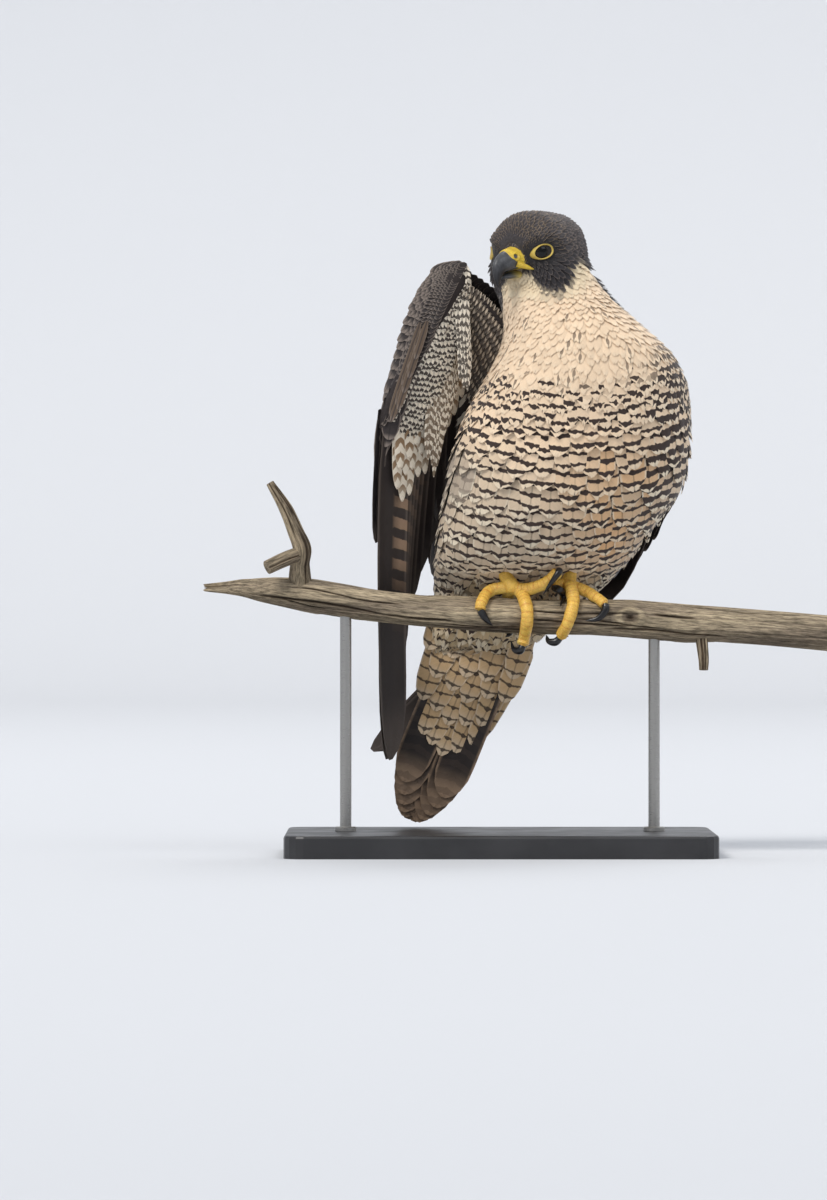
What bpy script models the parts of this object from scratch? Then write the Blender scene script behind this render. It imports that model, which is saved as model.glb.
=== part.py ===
"""Peregrine falcon, adult female, life size, as a still display model.

The bird grips a short cut length of dead branch with both feet. Its right wing is
lifted at the wrist and hangs half open in front of the tail, its left wing is folded
over the back, and its head is turned to its right. Two rods carry the branch on a
flat base, high enough for the tail to hang clear.

Lengths in this file are millimetres, and one function turns them to metres. The
origin is the middle of the base's underside, +Z is up, and the bird faces -Y, so
that its left side is at +X.
"""

import math

import bmesh
import bpy
import numpy as np

# ------------------------------------------------------------------ driving sizes

METRES = 0.001
GAP = 0.3                      # clearance kept where two sub-parts meet

BASE_SIZE = (300.0, 190.0)     # display base, width and depth
BASE_THICK = 16.0
BASE_CORNER = 14.0
ROD_X = 108.0                  # rods stand this far to each side of the middle
ROD_RADIUS = 4.0

# branch: (x, z, diameter) of stations along its middle line, at y = 0
BRANCH_STATIONS = (
    (-203.0, 186.6, 5.0), (-182.0, 186.6, 12.0), (-157.0, 184.0, 19.0), (-133.0, 181.0, 23.5),
    (-109.0, 177.6, 23.5), (-89.0, 174.8, 22.0), (-56.0, 170.6, 21.5), (-14.0, 167.8, 23.5),
    (31.0, 166.4, 24.0), (63.0, 166.0, 24.5), (91.0, 164.7, 26.5), (130.0, 161.5, 26.5),
    (154.0, 160.8, 24.5), (234.0, 154.4, 24.0),
)
BRANCH_SIDES = 12
TWIG_PATH = ((-140.0, 0.0, 186.0), (-140.0, -3.0, 203.0), (-138.5, -8.0, 214.0), (-143.0, -8.0, 226.0),
             (-150.0, -5.0, 242.0), (-161.0, -3.0, 260.0))
TWIG_RADII = (9.0, 7.0, 6.6, 5.6, 4.6, 2.6)
SNAG_PATH = ((-140.5, -8.0, 210.0), (-151.0, -16.0, 206.0), (-162.5, -21.0, 200.5))
SNAG_RADII = (5.2, 5.2, 5.0)
STUB_PATH = ((141.0, -4.0, 153.0), (142.5, -7.0, 138.0), (142.5, -8.0, 129.0))
STUB_RADII = (4.2, 3.6, 3.0)

# trunk of the body: (z, x right side, x left side, y front, y back) of level sections
BODY_SECTIONS = (
    (140.0, -44.0, 12.0, 53.0, 67.0),
    (146.0, -46.0, 24.0, 47.0, 68.0),
    (152.0, -47.0, 31.0, 38.0, 71.0),
    (166.0, -47.0, 44.0, 29.0, 76.0),
    (178.0, -45.5, 60.0, 22.0, 79.0),
    (186.0, -46.5, 73.0, 15.0, 80.0),
    (194.0, -46.5, 82.0, 2.0, 81.0),
    (202.0, -46.5, 89.0, -15.0, 81.0),
    (214.0, -45.5, 98.0, -31.0, 80.0),
    (232.0, -43.0, 111.0, -44.0, 78.0),
    (256.0, -39.0, 130.0, -54.0, 74.0),
    (282.0, -34.0, 134.5, -62.5, 69.0),
    (308.0, -25.0, 134.0, -69.0, 62.0),
    (332.0, -11.0, 131.0, -72.5, 54.0),
    (352.0, 0.0, 120.0, -72.0, 46.0),
    (368.0, 3.0, 101.0, -67.0, 37.0),
    (382.0, 1.0, 85.0, -59.0, 26.0),
    (394.0, -3.0, 75.0, -51.0, 18.0),
    (406.0, -3.0, 67.0, -47.0, 14.0),
    (418.0, 5.0, 59.0, -42.0, 9.0),
    (428.0, 14.0, 46.0, -34.0, 0.0),
)
BODY_SIDES = 22
BODY_POWER = 2.25             # how square the body's level sections are
NECK_TOP_Z = 393.0
NECK_BASE_Z = 374.0

# head: its middle, its turn to the right and its dip, in degrees
HEAD_MIDDLE = (27.3, -22.0, 420.0)
HEAD_TURN = 38.0
HEAD_DIP = 12.0
# (forward, half width, top, bottom) of sections across the head
HEAD_SECTIONS = (
    (-33.0, 5.0, 5.0, -6.0), (-30.5, 13.0, 12.0, -12.0), (-25.0, 21.0, 20.0, -20.0),
    (-14.0, 27.5, 27.5, -27.5), (-1.0, 30.6, 31.0, -30.5), (10.0, 31.2, 32.0, -30.5),
    (18.0, 28.4, 29.5, -28.0), (24.0, 23.6, 25.0, -24.0), (28.5, 17.0, 18.5, -19.0),
    (31.5, 11.0, 10.5, -13.5),
)
HEAD_SIDES = 16
CHEEK_FULLNESS = 0.06          # how much wider the head is below than above
EYE_SPOT = (25.2, 22.6, 4.4)    # forward, sideways and up from the head's middle
EYE_FACING = (0.52, 0.85, 0.06)
EYE_RADIUS = 8.6
LID_RADIUS = 7.6
LID_THICK = 1.5
LID_STEPS = 14
LID_SIDES = 5
CERE_FRONT = 42.2

# wings: joints of the raised right wing and of the folded left wing
RIGHT_SHOULDER = (14.0, 8.0, 346.0)
RIGHT_ELBOW = (-18.0, 50.0, 326.0)
RIGHT_WRIST = (-31.0, -15.0, 401.0)
RIGHT_FINGER = (-76.0, -8.0, 312.0)
LEFT_SHOULDER = (92.0, 30.0, 346.0)
LEFT_ELBOW = (66.0, 84.0, 300.0)
LEFT_WRIST = (116.0, 34.0, 322.0)
LEFT_FINGER = (98.0, 66.0, 240.0)
LEFT_LONG_TIP = (-104.0, 92.0, 57.0)      # where the folded wing's outermost and innermost primaries end
LEFT_SHORT_TIP = (22.0, 92.0, 186.0)
LEFT_FIRST_SECONDARY_TIP = (76.0, 70.0, 172.0)
LEFT_LAST_SECONDARY_TIP = (8.0, 96.0, 182.0)
LONGEST_PRIMARY = 262.0
SHORTEST_PRIMARY = 163.0
SECONDARY_LENGTH = 158.0
VANE_THICK = 0.6

# tail: where it starts, where its tip hangs, and how far its feathers lie to each side
TAIL_ROOT = (-5.0, 59.0, 163.0)
TAIL_TIP = (-63.0, 72.0, 21.0)
TAIL_FEATHERS = 12
TAIL_ROOT_STEP = 2.4           # sideways step from feather to feather, at the root and at the tip
TAIL_TIP_STEP = 2.5
TAIL_WIDTH = 26.0

HORN_BLACK = (0.012, 0.011, 0.012)
SKIN_YELLOW = (0.80, 0.46, 0.06)
SLATE = (0.045, 0.042, 0.045)
BUFF = (0.62, 0.47, 0.30)
WOOD_GREY = (0.26, 0.19, 0.12)


# ------------------------------------------------------------------ small helpers

def unit(vector):
    """The vector scaled to length one."""
    vector = np.asarray(vector, dtype=float)
    return vector / np.linalg.norm(vector)


def mix(first, second, share):
    """The point that lies the given share of the way from first to second."""
    return np.asarray(first, dtype=float) * (1.0 - share) + np.asarray(second, dtype=float) * share


def make_object(name, points, faces):
    """A mesh object from points in millimetres, linked to the scene, with its faces pointing out."""
    mesh = bpy.data.meshes.new(name)
    scaled = np.asarray(points, dtype=float) * METRES
    mesh.from_pydata([tuple(point) for point in scaled], [], faces)
    shape = bmesh.new()
    shape.from_mesh(mesh)
    bmesh.ops.recalc_face_normals(shape, faces=shape.faces)
    shape.to_mesh(mesh)
    shape.free()
    thing = bpy.data.objects.new(name, mesh)
    bpy.context.scene.collection.objects.link(thing)
    return thing


def loft(name, rings):
    """A closed skin over a row of rings with equal numbers of points, fanned shut at both ends."""
    rings = [np.asarray(ring, dtype=float) for ring in rings]
    sides = len(rings[0])
    points = np.vstack(rings + [rings[0].mean(axis=0), rings[-1].mean(axis=0)])
    faces = []
    for row in range(len(rings) - 1):
        start = row * sides
        for side in range(sides):
            here = start + side
            beside = start + (side + 1) % sides
            faces.append((here, beside, beside + sides))
            faces.append((here, beside + sides, here + sides))
    first_middle = len(rings) * sides
    last_row = (len(rings) - 1) * sides
    for side in range(sides):
        beside = (side + 1) % sides
        faces.append((first_middle, beside, side))
        faces.append((first_middle + 1, last_row + side, last_row + beside))
    return make_object(name, points, faces)


def oval(middle, across, along, half_across, half_along, sides, power=2.0):
    """A ring of points on a rounded oval, with its two half sizes and directions."""
    angle = 2.0 * math.pi * np.arange(sides) / sides
    cos = np.cos(angle)
    sin = np.sin(angle)
    reach_across = np.sign(cos) * np.abs(cos) ** (2.0 / power) * half_across
    reach_along = np.sign(sin) * np.abs(sin) ** (2.0 / power) * half_along
    return np.asarray(middle) + np.outer(reach_across, across) + np.outer(reach_along, along)


def path_frames(path):
    """Two directions square to a path at each of its points, carried along without twist."""
    path = np.asarray(path, dtype=float)
    tangent = np.gradient(path, axis=0)
    tangent /= np.linalg.norm(tangent, axis=1)[:, None]
    guide = np.array([0.0, 1.0, 0.0])
    if abs(tangent[0][1]) > 0.9:
        guide = np.array([1.0, 0.0, 0.0])
    frames = []
    for direction in tangent:
        guide = unit(guide - direction * guide.dot(direction))
        frames.append((guide, np.cross(direction, guide)))
    return frames


def tube(name, path, radii, sides, flat=1.0, power=2.0):
    """A tapered tube along a path; flat squeezes it along its second direction."""
    path = np.asarray(path, dtype=float)
    rings = []
    for point, radius, (first, second) in zip(path, radii, path_frames(path)):
        rings.append(oval(point, first, second, radius, radius * flat, sides, power))
    return loft(name, rings)


def smooth_at(points, share):
    """Places on a Catmull-Rom curve through the points; share runs from 0 at the first to 1 at the last."""
    points = np.asarray(points, dtype=float)
    padded = np.vstack([2 * points[0] - points[1], points, 2 * points[-1] - points[-2]])
    place = np.asarray(share) * (len(points) - 1.0)
    span = np.minimum(place.astype(int), len(points) - 2)
    t = (place - span)[..., None]
    a, b, c, d = (padded[span + k] for k in range(4))
    return 0.5 * (2 * b + (c - a) * t + (2 * a - 5 * b + 4 * c - d) * t ** 2
                  + (3 * b - a - 3 * c + d) * t ** 3)


def smooth_path(points, count):
    """Count points spread evenly on a smooth curve through the given ones."""
    return smooth_at(points, np.linspace(0.0, 1.0, count))


def drop(thing):
    """Removes an object and its mesh."""
    mesh = thing.data
    bpy.data.objects.remove(thing)
    bpy.data.meshes.remove(mesh)


def keep_largest(thing):
    """Keeps only the largest closed surface of an object."""
    shape = bmesh.new()
    shape.from_mesh(thing.data)
    left = set(shape.verts)
    shells = []
    while left:
        shell = {left.pop()}
        edge_of_shell = list(shell)
        while edge_of_shell:
            vertex = edge_of_shell.pop()
            for edge in vertex.link_edges:
                other = edge.other_vert(vertex)
                if other in left:
                    left.remove(other)
                    shell.add(other)
                    edge_of_shell.append(other)
        shells.append(shell)
    shells.sort(key=box_volume)
    for shell in shells[:-1]:
        bmesh.ops.delete(shape, geom=list(shell), context="VERTS")
    bmesh.ops.triangulate(shape, faces=shape.faces)
    shape.to_mesh(thing.data)
    shape.free()


def box_volume(shell):
    """The volume of the box round a set of vertices."""
    places = np.array([tuple(vertex.co) for vertex in shell])
    return float(np.prod(places.max(axis=0) - places.min(axis=0)))


def boolean(thing, others, operation):
    """Joins others to thing, or cuts them from it, in one Boolean, and removes the others."""
    bundle = bpy.data.collections.new("bundle")
    for other in others:
        bundle.objects.link(other)
    modifier = thing.modifiers.new("boolean", "BOOLEAN")
    modifier.operation = operation
    modifier.solver = "EXACT"
    modifier.operand_type = "COLLECTION"
    modifier.collection = bundle
    evaluated = thing.evaluated_get(bpy.context.evaluated_depsgraph_get())
    result = bpy.data.meshes.new_from_object(evaluated)
    thing.modifiers.clear()
    old = thing.data
    thing.data = result
    bpy.data.meshes.remove(old)
    for other in others:
        drop(other)
    bpy.data.collections.remove(bundle)
    keep_largest(thing)
    return thing


def join(pieces):
    """One closed body from overlapping pieces; the first lends its name."""
    return boolean(pieces[0], pieces[1:], "UNION")


def cut(thing, cutters):
    """Takes the cutters out of a body."""
    return boolean(thing, cutters, "DIFFERENCE")


def slice_off(thing, point, normal):
    """Cuts away what lies beyond a plane, on the side that its normal points to, and closes the cut."""
    shape = bmesh.new()
    shape.from_mesh(thing.data)
    everything = shape.verts[:] + shape.edges[:] + shape.faces[:]
    bmesh.ops.bisect_plane(shape, geom=everything, dist=1e-7, plane_co=np.asarray(point) * METRES,
                           plane_no=unit(normal), clear_outer=True)
    rim = [edge for edge in shape.edges if edge.is_boundary]
    bmesh.ops.triangle_fill(shape, edges=rim, use_beauty=True)
    bmesh.ops.recalc_face_normals(shape, faces=shape.faces)
    bmesh.ops.triangulate(shape, faces=shape.faces)
    shape.to_mesh(thing.data)
    shape.free()
    return thing


def twin(thing, name):
    """A second object with its own copy of the mesh."""
    copy = bpy.data.objects.new(name, thing.data.copy())
    bpy.context.scene.collection.objects.link(copy)
    return copy


PARTS = bpy.data.collections.new("peregrine_falcon")


def finish(thing, name, colour, roughness=0.6, smooth=False):
    """Names a finished sub-part, gives it its material and puts it in the part's collection."""
    material = bpy.data.materials.new(name)
    material.use_nodes = True
    shader = material.node_tree.nodes["Principled BSDF"]
    shader.inputs["Base Color"].default_value = (*colour, 1.0)
    shader.inputs["Roughness"].default_value = roughness
    shader.inputs["Metallic"].default_value = 0.0
    thing.name = name
    thing.data.name = name
    thing.data.materials.clear()
    thing.data.materials.append(material)
    if smooth:
        thing.data.shade_smooth()
    PARTS.objects.link(thing)
    bpy.context.scene.collection.objects.unlink(thing)
    return thing


# ------------------------------------------------------------------ feathers

VANE_STATIONS = (0.0, 0.22, 0.62, 0.88, 1.0)
VANE_WIDTHS = (0.34, 0.82, 1.0, 0.74, 0.2)
WRAP_STATIONS = (0.0, 0.2, 0.42, 0.64, 0.86, 1.0)
WRAP_WIDTHS = (0.34, 0.85, 1.0, 1.0, 0.7, 0.2)
SHORT_STATIONS = (0.0, 0.5, 0.86, 1.0)
SHORT_WIDTHS = (0.55, 1.0, 0.8, 0.3)
SHINGLE = math.sin(math.radians(9.0))   # how steeply vanes tilt to lie over one another
TRACT_LIFT = 2.2                         # how far the tips of coverts stand off the tier below


def vane(root, tip, across, width, bow=0.0, lift=0.0, lead=0.36, short=False, grow=0.0, turned=None,
         wrap=None):
    """One feather as a thin closed blade from root to tip.

    across points from its leading edge to its trailing edge, and turned is where it
    points at the tip; bow bends the middle of the shaft towards the leading edge and
    lift bends it off the surface. wrap lays the blade round the trunk, at its two
    distances from root to tip. grow makes it larger all round, for clearing
    neighbours.
    """
    root = np.asarray(root, dtype=float)
    tip = np.asarray(tip, dtype=float)
    stations, widths = (SHORT_STATIONS, SHORT_WIDTHS) if short else (VANE_STATIONS, VANE_WIDTHS)
    if wrap is not None and not short:
        stations, widths = WRAP_STATIONS, WRAP_WIDTHS
    axis = unit(tip - root)
    first_across = unit(np.asarray(across) - axis * np.dot(across, axis))
    last_across = first_across if turned is None else unit(turned - axis * np.dot(turned, axis))
    root = root - axis * grow
    tip = tip + axis * grow
    half_thick = VANE_THICK / 2.0 + grow
    rings = []
    for share, part in zip(stations, widths):
        side = unit(mix(first_across, last_across, share))
        outward = np.cross(axis, side)
        arch = 4.0 * share * (1.0 - share)
        middle = mix(root, tip, share) - side * bow * arch + outward * lift * arch
        if wrap is not None:
            middle, outward = off_trunk(middle, wrap[0] + (wrap[1] - wrap[0]) * share)
            side = unit(np.cross(outward, axis))
            side = unit(side * np.sign(np.dot(side, first_across)) - outward * SHINGLE)
            outward = np.cross(axis, side)
        front = middle - side * (width * part * lead + grow)
        back = middle + side * (width * part * (1.0 - lead) + grow)
        thick = unit(outward) * half_thick * (1.0 if share < 1.0 else 0.6)
        rings.append((front + thick, back + thick, back - thick, front - thick))
    points = np.vstack(rings)
    faces = []
    for row in range(len(rings) - 1):
        a = row * 4
        b = a + 4
        faces += [(a, a + 1, b + 1), (a, b + 1, b), (a + 3, b + 2, a + 2), (a + 3, b + 3, b + 2)]
        faces += [(a + 1, a + 2, b + 2), (a + 1, b + 2, b + 1), (a + 3, a, b), (a + 3, b, b + 3)]
    last = (len(rings) - 1) * 4
    faces += [(0, 2, 1), (0, 3, 2), (last, last + 1, last + 2), (last, last + 2, last + 3)]
    return make_object("vane", points, faces)


def tract(first, last, aims, faces, tiers, count):
    """Roots, tips and sideways directions of overlapping tiers of feathers, with their places in the tract.

    first and last are the lines of roots of the top and the bottom tier. aims and faces
    each hold two rows of directions along those lines: how far and where the feathers
    point, and which way they look.
    """
    spans = []
    for tier in range(tiers):
        down = tier / max(tiers - 1.0, 1.0)
        for index in range(count):
            along = (index + 0.5 * (tier % 2)) / (count - 0.5)
            root = mix(smooth_at(first, along), smooth_at(last, along), down)
            aim = mix(smooth_at(aims[0], along), smooth_at(aims[1], along), down)
            face = unit(mix(smooth_at(faces[0], along), smooth_at(faces[1], along), down))
            spans.append((root, root + aim + face * TRACT_LIFT, np.cross(face, aim), down))
    return spans


def off_trunk(point, clearance):
    """A point moved level to a distance outside the trunk, with the trunk's outward direction there."""
    heights = [section[0] for section in BODY_SECTIONS]
    right, left, front, back = (np.interp(point[2], heights, [section[k] for section in BODY_SECTIONS])
                                for k in range(1, 5))
    middle = np.array([(right + left) / 2.0, (front + back) / 2.0])
    half = np.array([(left - right) / 2.0, (back - front) / 2.0])
    share = (point[:2] - middle) / half
    reach = (np.abs(share) ** BODY_POWER).sum() ** (1.0 / BODY_POWER)
    outward = unit(np.sign(share) * np.abs(share) ** (BODY_POWER - 1.0) / half)
    spot = middle + (point[:2] - middle) / reach + outward * clearance
    if reach > 1.0 and np.dot(point[:2] - spot, outward) > 0.0:
        spot = point[:2]
    return np.array([spot[0], spot[1], point[2]]), np.array([outward[0], outward[1], 0.0])


def primary_length(number):
    """Length of a primary: the ninth is the longest and the tenth a little shorter."""
    if number == 10:
        return LONGEST_PRIMARY * 0.955
    rise = (number - 1) / 8.0
    return SHORTEST_PRIMARY + (LONGEST_PRIMARY - SHORTEST_PRIMARY) * rise ** 1.35


# ------------------------------------------------------------------ stand and perch

def make_stand():
    bpy.ops.mesh.primitive_cube_add(size=METRES, location=(0.0, 0.0, BASE_THICK * METRES / 2.0))
    base = bpy.context.active_object
    base.scale = (BASE_SIZE[0], BASE_SIZE[1], BASE_THICK)
    bpy.ops.object.transform_apply(location=True, scale=True)
    shape = bmesh.new()
    shape.from_mesh(base.data)
    upright = [edge for edge in shape.edges if abs(edge.verts[0].co.z - edge.verts[1].co.z) > METRES]
    bmesh.ops.bevel(shape, geom=upright, offset=BASE_CORNER * METRES, segments=4, affect="EDGES", profile=0.5)
    rim = [edge for edge in shape.edges if min(v.co.z for v in edge.verts) > (BASE_THICK - 0.1) * METRES]
    bmesh.ops.bevel(shape, geom=rim, offset=2.0 * METRES, segments=2, affect="EDGES", profile=0.5)
    shape.to_mesh(base.data)
    shape.free()
    bpy.context.collection.objects.unlink(base)
    bpy.context.scene.collection.objects.link(base)
    finish(base, "stand_base", (0.02, 0.02, 0.022), 0.35)
    for side, name in ((-1.0, "stand_rod_right"), (1.0, "stand_rod_left")):
        x = side * ROD_X
        top = np.interp(x, [s[0] for s in BRANCH_STATIONS], [s[1] for s in BRANCH_STATIONS])
        path = ((x, 0.0, BASE_THICK + GAP), (x, 0.0, 90.0), (x, 0.0, top))
        rod = tube(name, path, (ROD_RADIUS, ROD_RADIUS, ROD_RADIUS), 16)
        cut(rod, [branch_body(GAP)])
        finish(rod, name, (0.35, 0.34, 0.33), 0.3, smooth=True)


def branch_rings(grow):
    """Rings of the branch, each slightly out of round and off its line."""
    rings = []
    for index, (x, z, diameter) in enumerate(BRANCH_STATIONS):
        radius = diameter / 2.0
        squash = 1.0 + 0.05 * math.sin(2.3 * index)
        wander = 0.5 * math.sin(1.7 * index) if 0 < index < 9 else 0.0
        rings.append(oval((x, wander, z), (0.0, 1.0, 0.0), (0.0, 0.0, 1.0),
                          radius * squash + grow, radius + grow, BRANCH_SIDES, 2.1))
    return rings


def branch_body(grow):
    return loft("branch", branch_rings(grow))


def make_perch():
    branch = branch_body(0.0)
    twig_path = smooth_path(TWIG_PATH, 11)
    twig_radii = np.interp(np.linspace(0, len(TWIG_RADII) - 1, 11), range(len(TWIG_RADII)), TWIG_RADII)
    twig = tube("twig", twig_path, twig_radii, 8)
    snag = tube("snag", SNAG_PATH, SNAG_RADII, 8)
    join([twig, snag])
    cut(twig, [branch_body(GAP)])
    finish(twig, "perch_twig", WOOD_GREY, 0.85)
    stub = tube("stub", STUB_PATH, STUB_RADII, 8)
    cut(stub, [branch_body(GAP)])
    finish(stub, "perch_stub", WOOD_GREY, 0.85)
    finish(branch, "perch_branch", WOOD_GREY, 0.85)


# ------------------------------------------------------------------ head, neck and torso

def body_loft(grow):
    """The whole trunk from the rump up into the head, from its level sections."""
    rings = []
    for z, right, left, front, back in BODY_SECTIONS:
        middle = ((right + left) / 2.0, (front + back) / 2.0, z)
        rings.append(oval(middle, (1.0, 0.0, 0.0), (0.0, 1.0, 0.0), (left - right) / 2.0 + grow,
                          (back - front) / 2.0 + grow, BODY_SIDES, BODY_POWER))
    if grow:
        rings[0][:, 2] -= grow
    return loft("trunk", rings)


def head_axes():
    """Forward, leftward and upward directions of the turned and dipped head."""
    turn = math.radians(HEAD_TURN)
    dip = math.radians(HEAD_DIP)
    forward = np.array([-math.sin(turn) * math.cos(dip), -math.cos(turn) * math.cos(dip), -math.sin(dip)])
    leftward = np.array([math.cos(turn), -math.sin(turn), 0.0])
    return forward, leftward, np.cross(forward, leftward)


def head_point(ahead, aside, above):
    """A place given forward, to the left and upward from the head's middle."""
    forward, leftward, upward = head_axes()
    return np.asarray(HEAD_MIDDLE) + forward * ahead + leftward * aside + upward * above


def head_direction(ahead, aside, above):
    """A direction given forward, to the left and upward as the head is turned."""
    forward, leftward, upward = head_axes()
    return unit(forward * ahead + leftward * aside + upward * above)


def head_ring(ahead, half_width, top, bottom, sides, power=2.15, jowl=0.0):
    """A section across the head; jowl makes it wider below and narrower above."""
    forward, leftward, upward = head_axes()
    middle = head_point(ahead, 0.0, (top + bottom) / 2.0)
    ring = oval(middle, leftward, upward, half_width, (top - bottom) / 2.0, sides, power)
    aside = (ring - middle) @ leftward
    above = (ring - middle) @ upward / ((top - bottom) / 2.0)
    return ring - np.outer(aside * above * jowl, leftward)


def ball(name, middle, radius, columns=12, rows=7):
    mesh = bpy.data.meshes.new(name)
    shape = bmesh.new()
    bmesh.ops.create_uvsphere(shape, u_segments=columns, v_segments=rows, radius=radius * METRES)
    shape.to_mesh(mesh)
    shape.free()
    thing = bpy.data.objects.new(name, mesh)
    for vertex in mesh.vertices:
        vertex.co.x += middle[0] * METRES
        vertex.co.y += middle[1] * METRES
        vertex.co.z += middle[2] * METRES
    bpy.context.scene.collection.objects.link(thing)
    return thing


def eye_place(side):
    """Middle of an eyeball and the way it faces; side is 1 for the left eye and -1 for the right."""
    facing = head_direction(EYE_FACING[0], side * EYE_FACING[1], EYE_FACING[2])
    spot = head_point(EYE_SPOT[0], side * EYE_SPOT[1], EYE_SPOT[2])
    return spot - facing * EYE_RADIUS, facing


def lid_ring(side):
    """The bare ring of skin round an eye, a thin oval hoop on the head."""
    middle, facing = eye_place(side)
    upward = unit(head_axes()[2] - facing * np.dot(head_axes()[2], facing))
    sideways = np.cross(upward, facing)
    hoop = middle + facing * (EYE_RADIUS - 2.0)
    rings = []
    for angle in 2.0 * math.pi * np.arange(LID_STEPS) / LID_STEPS:
        out = sideways * math.cos(angle) + upward * math.sin(angle)
        reach = sideways * math.cos(angle) * LID_RADIUS * 1.1 + upward * math.sin(angle) * LID_RADIUS * 0.82
        rings.append(oval(hoop + reach, out, facing, LID_THICK, LID_THICK, LID_SIDES))
    points = np.vstack(rings)
    faces = []
    for row in range(LID_STEPS):
        next_row = (row + 1) % LID_STEPS
        for corner in range(LID_SIDES):
            here = row * LID_SIDES + corner
            beside = row * LID_SIDES + (corner + 1) % LID_SIDES
            after = next_row * LID_SIDES + corner
            after_beside = next_row * LID_SIDES + (corner + 1) % LID_SIDES
            faces.append((here, beside, after_beside, after))
    return make_object("lid", points, faces)


def make_head_and_body():
    head = loft("head", [head_ring(*section, HEAD_SIDES, jowl=CHEEK_FULLNESS) for section in HEAD_SECTIONS])
    whole = join([body_loft(0.0), head])
    upper = twin(whole, "upper")
    middle = twin(whole, "middle")
    slice_off(upper, (0.0, 0.0, NECK_TOP_Z + GAP / 2.0), (0.0, 0.0, -1.0))
    slice_off(middle, (0.0, 0.0, NECK_TOP_Z - GAP / 2.0), (0.0, 0.0, 1.0))
    slice_off(middle, (0.0, 0.0, NECK_BASE_Z + GAP / 2.0), (0.0, 0.0, -1.0))
    slice_off(whole, (0.0, 0.0, NECK_BASE_Z - GAP / 2.0), (0.0, 0.0, 1.0))
    join([upper, lid_ring(1), lid_ring(-1)])
    sockets = [ball("socket", eye_place(side)[0], EYE_RADIUS + GAP) for side in (1, -1)]
    cut(upper, sockets)
    finish(upper, "head", SLATE, 0.8, smooth=False)
    finish(middle, "neck", BUFF, 0.8, smooth=False)
    finish(whole, "torso", BUFF, 0.8, smooth=False)
    for side, name in ((1, "eye_left"), (-1, "eye_right")):
        eye = ball(name, eye_place(side)[0], EYE_RADIUS)
        finish(eye, name, (0.02, 0.012, 0.008), 0.08, smooth=True)


# bill: (forward, up, half height, half width, lean) of rings, leaning over towards the hooked tip
UPPER_BILL = (
    (42.6, 0.9, 7.0, 7.2, 0.0), (45.5, 0.2, 6.5, 6.4, 20.0), (48.4, -1.6, 5.6, 5.4, 38.0),
    (50.6, -4.6, 4.5, 4.4, 56.0), (51.6, -8.4, 3.1, 3.2, 73.0), (51.7, -12.2, 1.7, 1.9, 86.0),
    (51.3, -15.2, 0.5, 0.6, 94.0),
)
LOWER_BILL = (
    (31.9, -9.8, 2.8, 6.8), (37.0, -9.4, 2.4, 6.0), (42.0, -9.4, 2.0, 4.6), (46.0, -9.6, 1.2, 2.4),
)
CERE_RINGS = ((31.8, 9.8, 9.8, -6.6), (36.5, 9.2, 9.8, -6.4), (CERE_FRONT, 7.4, 8.3, -6.2))


def make_bill():
    forward, leftward, upward = head_axes()
    rings = []
    for ahead, above, half_height, half_width, lean in UPPER_BILL:
        tilt = math.radians(lean)
        tall = upward * math.cos(tilt) + forward * math.sin(tilt)
        rings.append(oval(head_point(ahead, 0.0, above), leftward, tall, half_width, half_height, 12, 2.2))
    bill = loft("bill", rings)
    finish(bill, "bill_upper", (0.10, 0.11, 0.12), 0.35)
    rings = [head_ring(*ring, 12, 2.3) for ring in CERE_RINGS]
    cere = loft("cere", rings)
    holes = []
    for side in (1, -1):
        start = head_point(37.4, side * 5.6, 3.4)
        end = head_point(38.8, side * 11.0, 4.2)
        holes.append(tube("nostril", (start, mix(start, end, 0.5), end), (1.2, 1.3, 1.5), 8))
    cut(cere, holes)
    finish(cere, "cere", (0.80, 0.62, 0.08), 0.45)
    rings = []
    for ahead, above, half_height, half_width in LOWER_BILL:
        rings.append(oval(head_point(ahead, 0.0, above), leftward, upward, half_width, half_height, 10, 2.2))
    jaw = loft("jaw", rings)
    finish(jaw, "bill_lower", (0.16, 0.16, 0.15), 0.4)


# ------------------------------------------------------------------ legs

# each foot: its sole, and its toes and claws as (x, depth, z), where a depth of None lies on the branch
RIGHT_FOOT = {
    "sole": (7.7, -1.0, 187.5),
    "ankle": (2.0, 4.0, 199.0),
    "outer": ((-6.6, -1.0, 184.6), (-13.0, None, 176.5), (-14.0, None, 171.0)),
    "outer_claw": ((-12.4, None, 168.6), (-9.3, None, 164.0), (-5.3, None, 160.0)),
    "middle": ((14.5, -3.0, 183.0), (18.4, None, 173.5), (18.8, None, 163.0), (17.0, None, 152.0),
               (15.8, None, 146.0)),
    "middle_claw": ((13.9, -6.5, 142.6), (9.8, -3.5, 143.5), (7.7, 0.0, 149.5)),
    "inner": ((16.5, -3.0, 185.4), (26.5, -8.0, 187.4), (34.5, -12.0, 191.8), (41.0, -14.5, 198.6)),
    "inner_claw": ((40.6, -18.2, 197.0), (35.7, -19.0, 190.0), (29.9, -16.5, 181.8)),
    "hallux": ((6.5, None, 181.0), (7.0, None, 171.0), (8.0, None, 162.0)),
    "hallux_claw": ((8.0, None, 158.5), (7.0, None, 154.5), (4.0, None, 152.0)),
}
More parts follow.
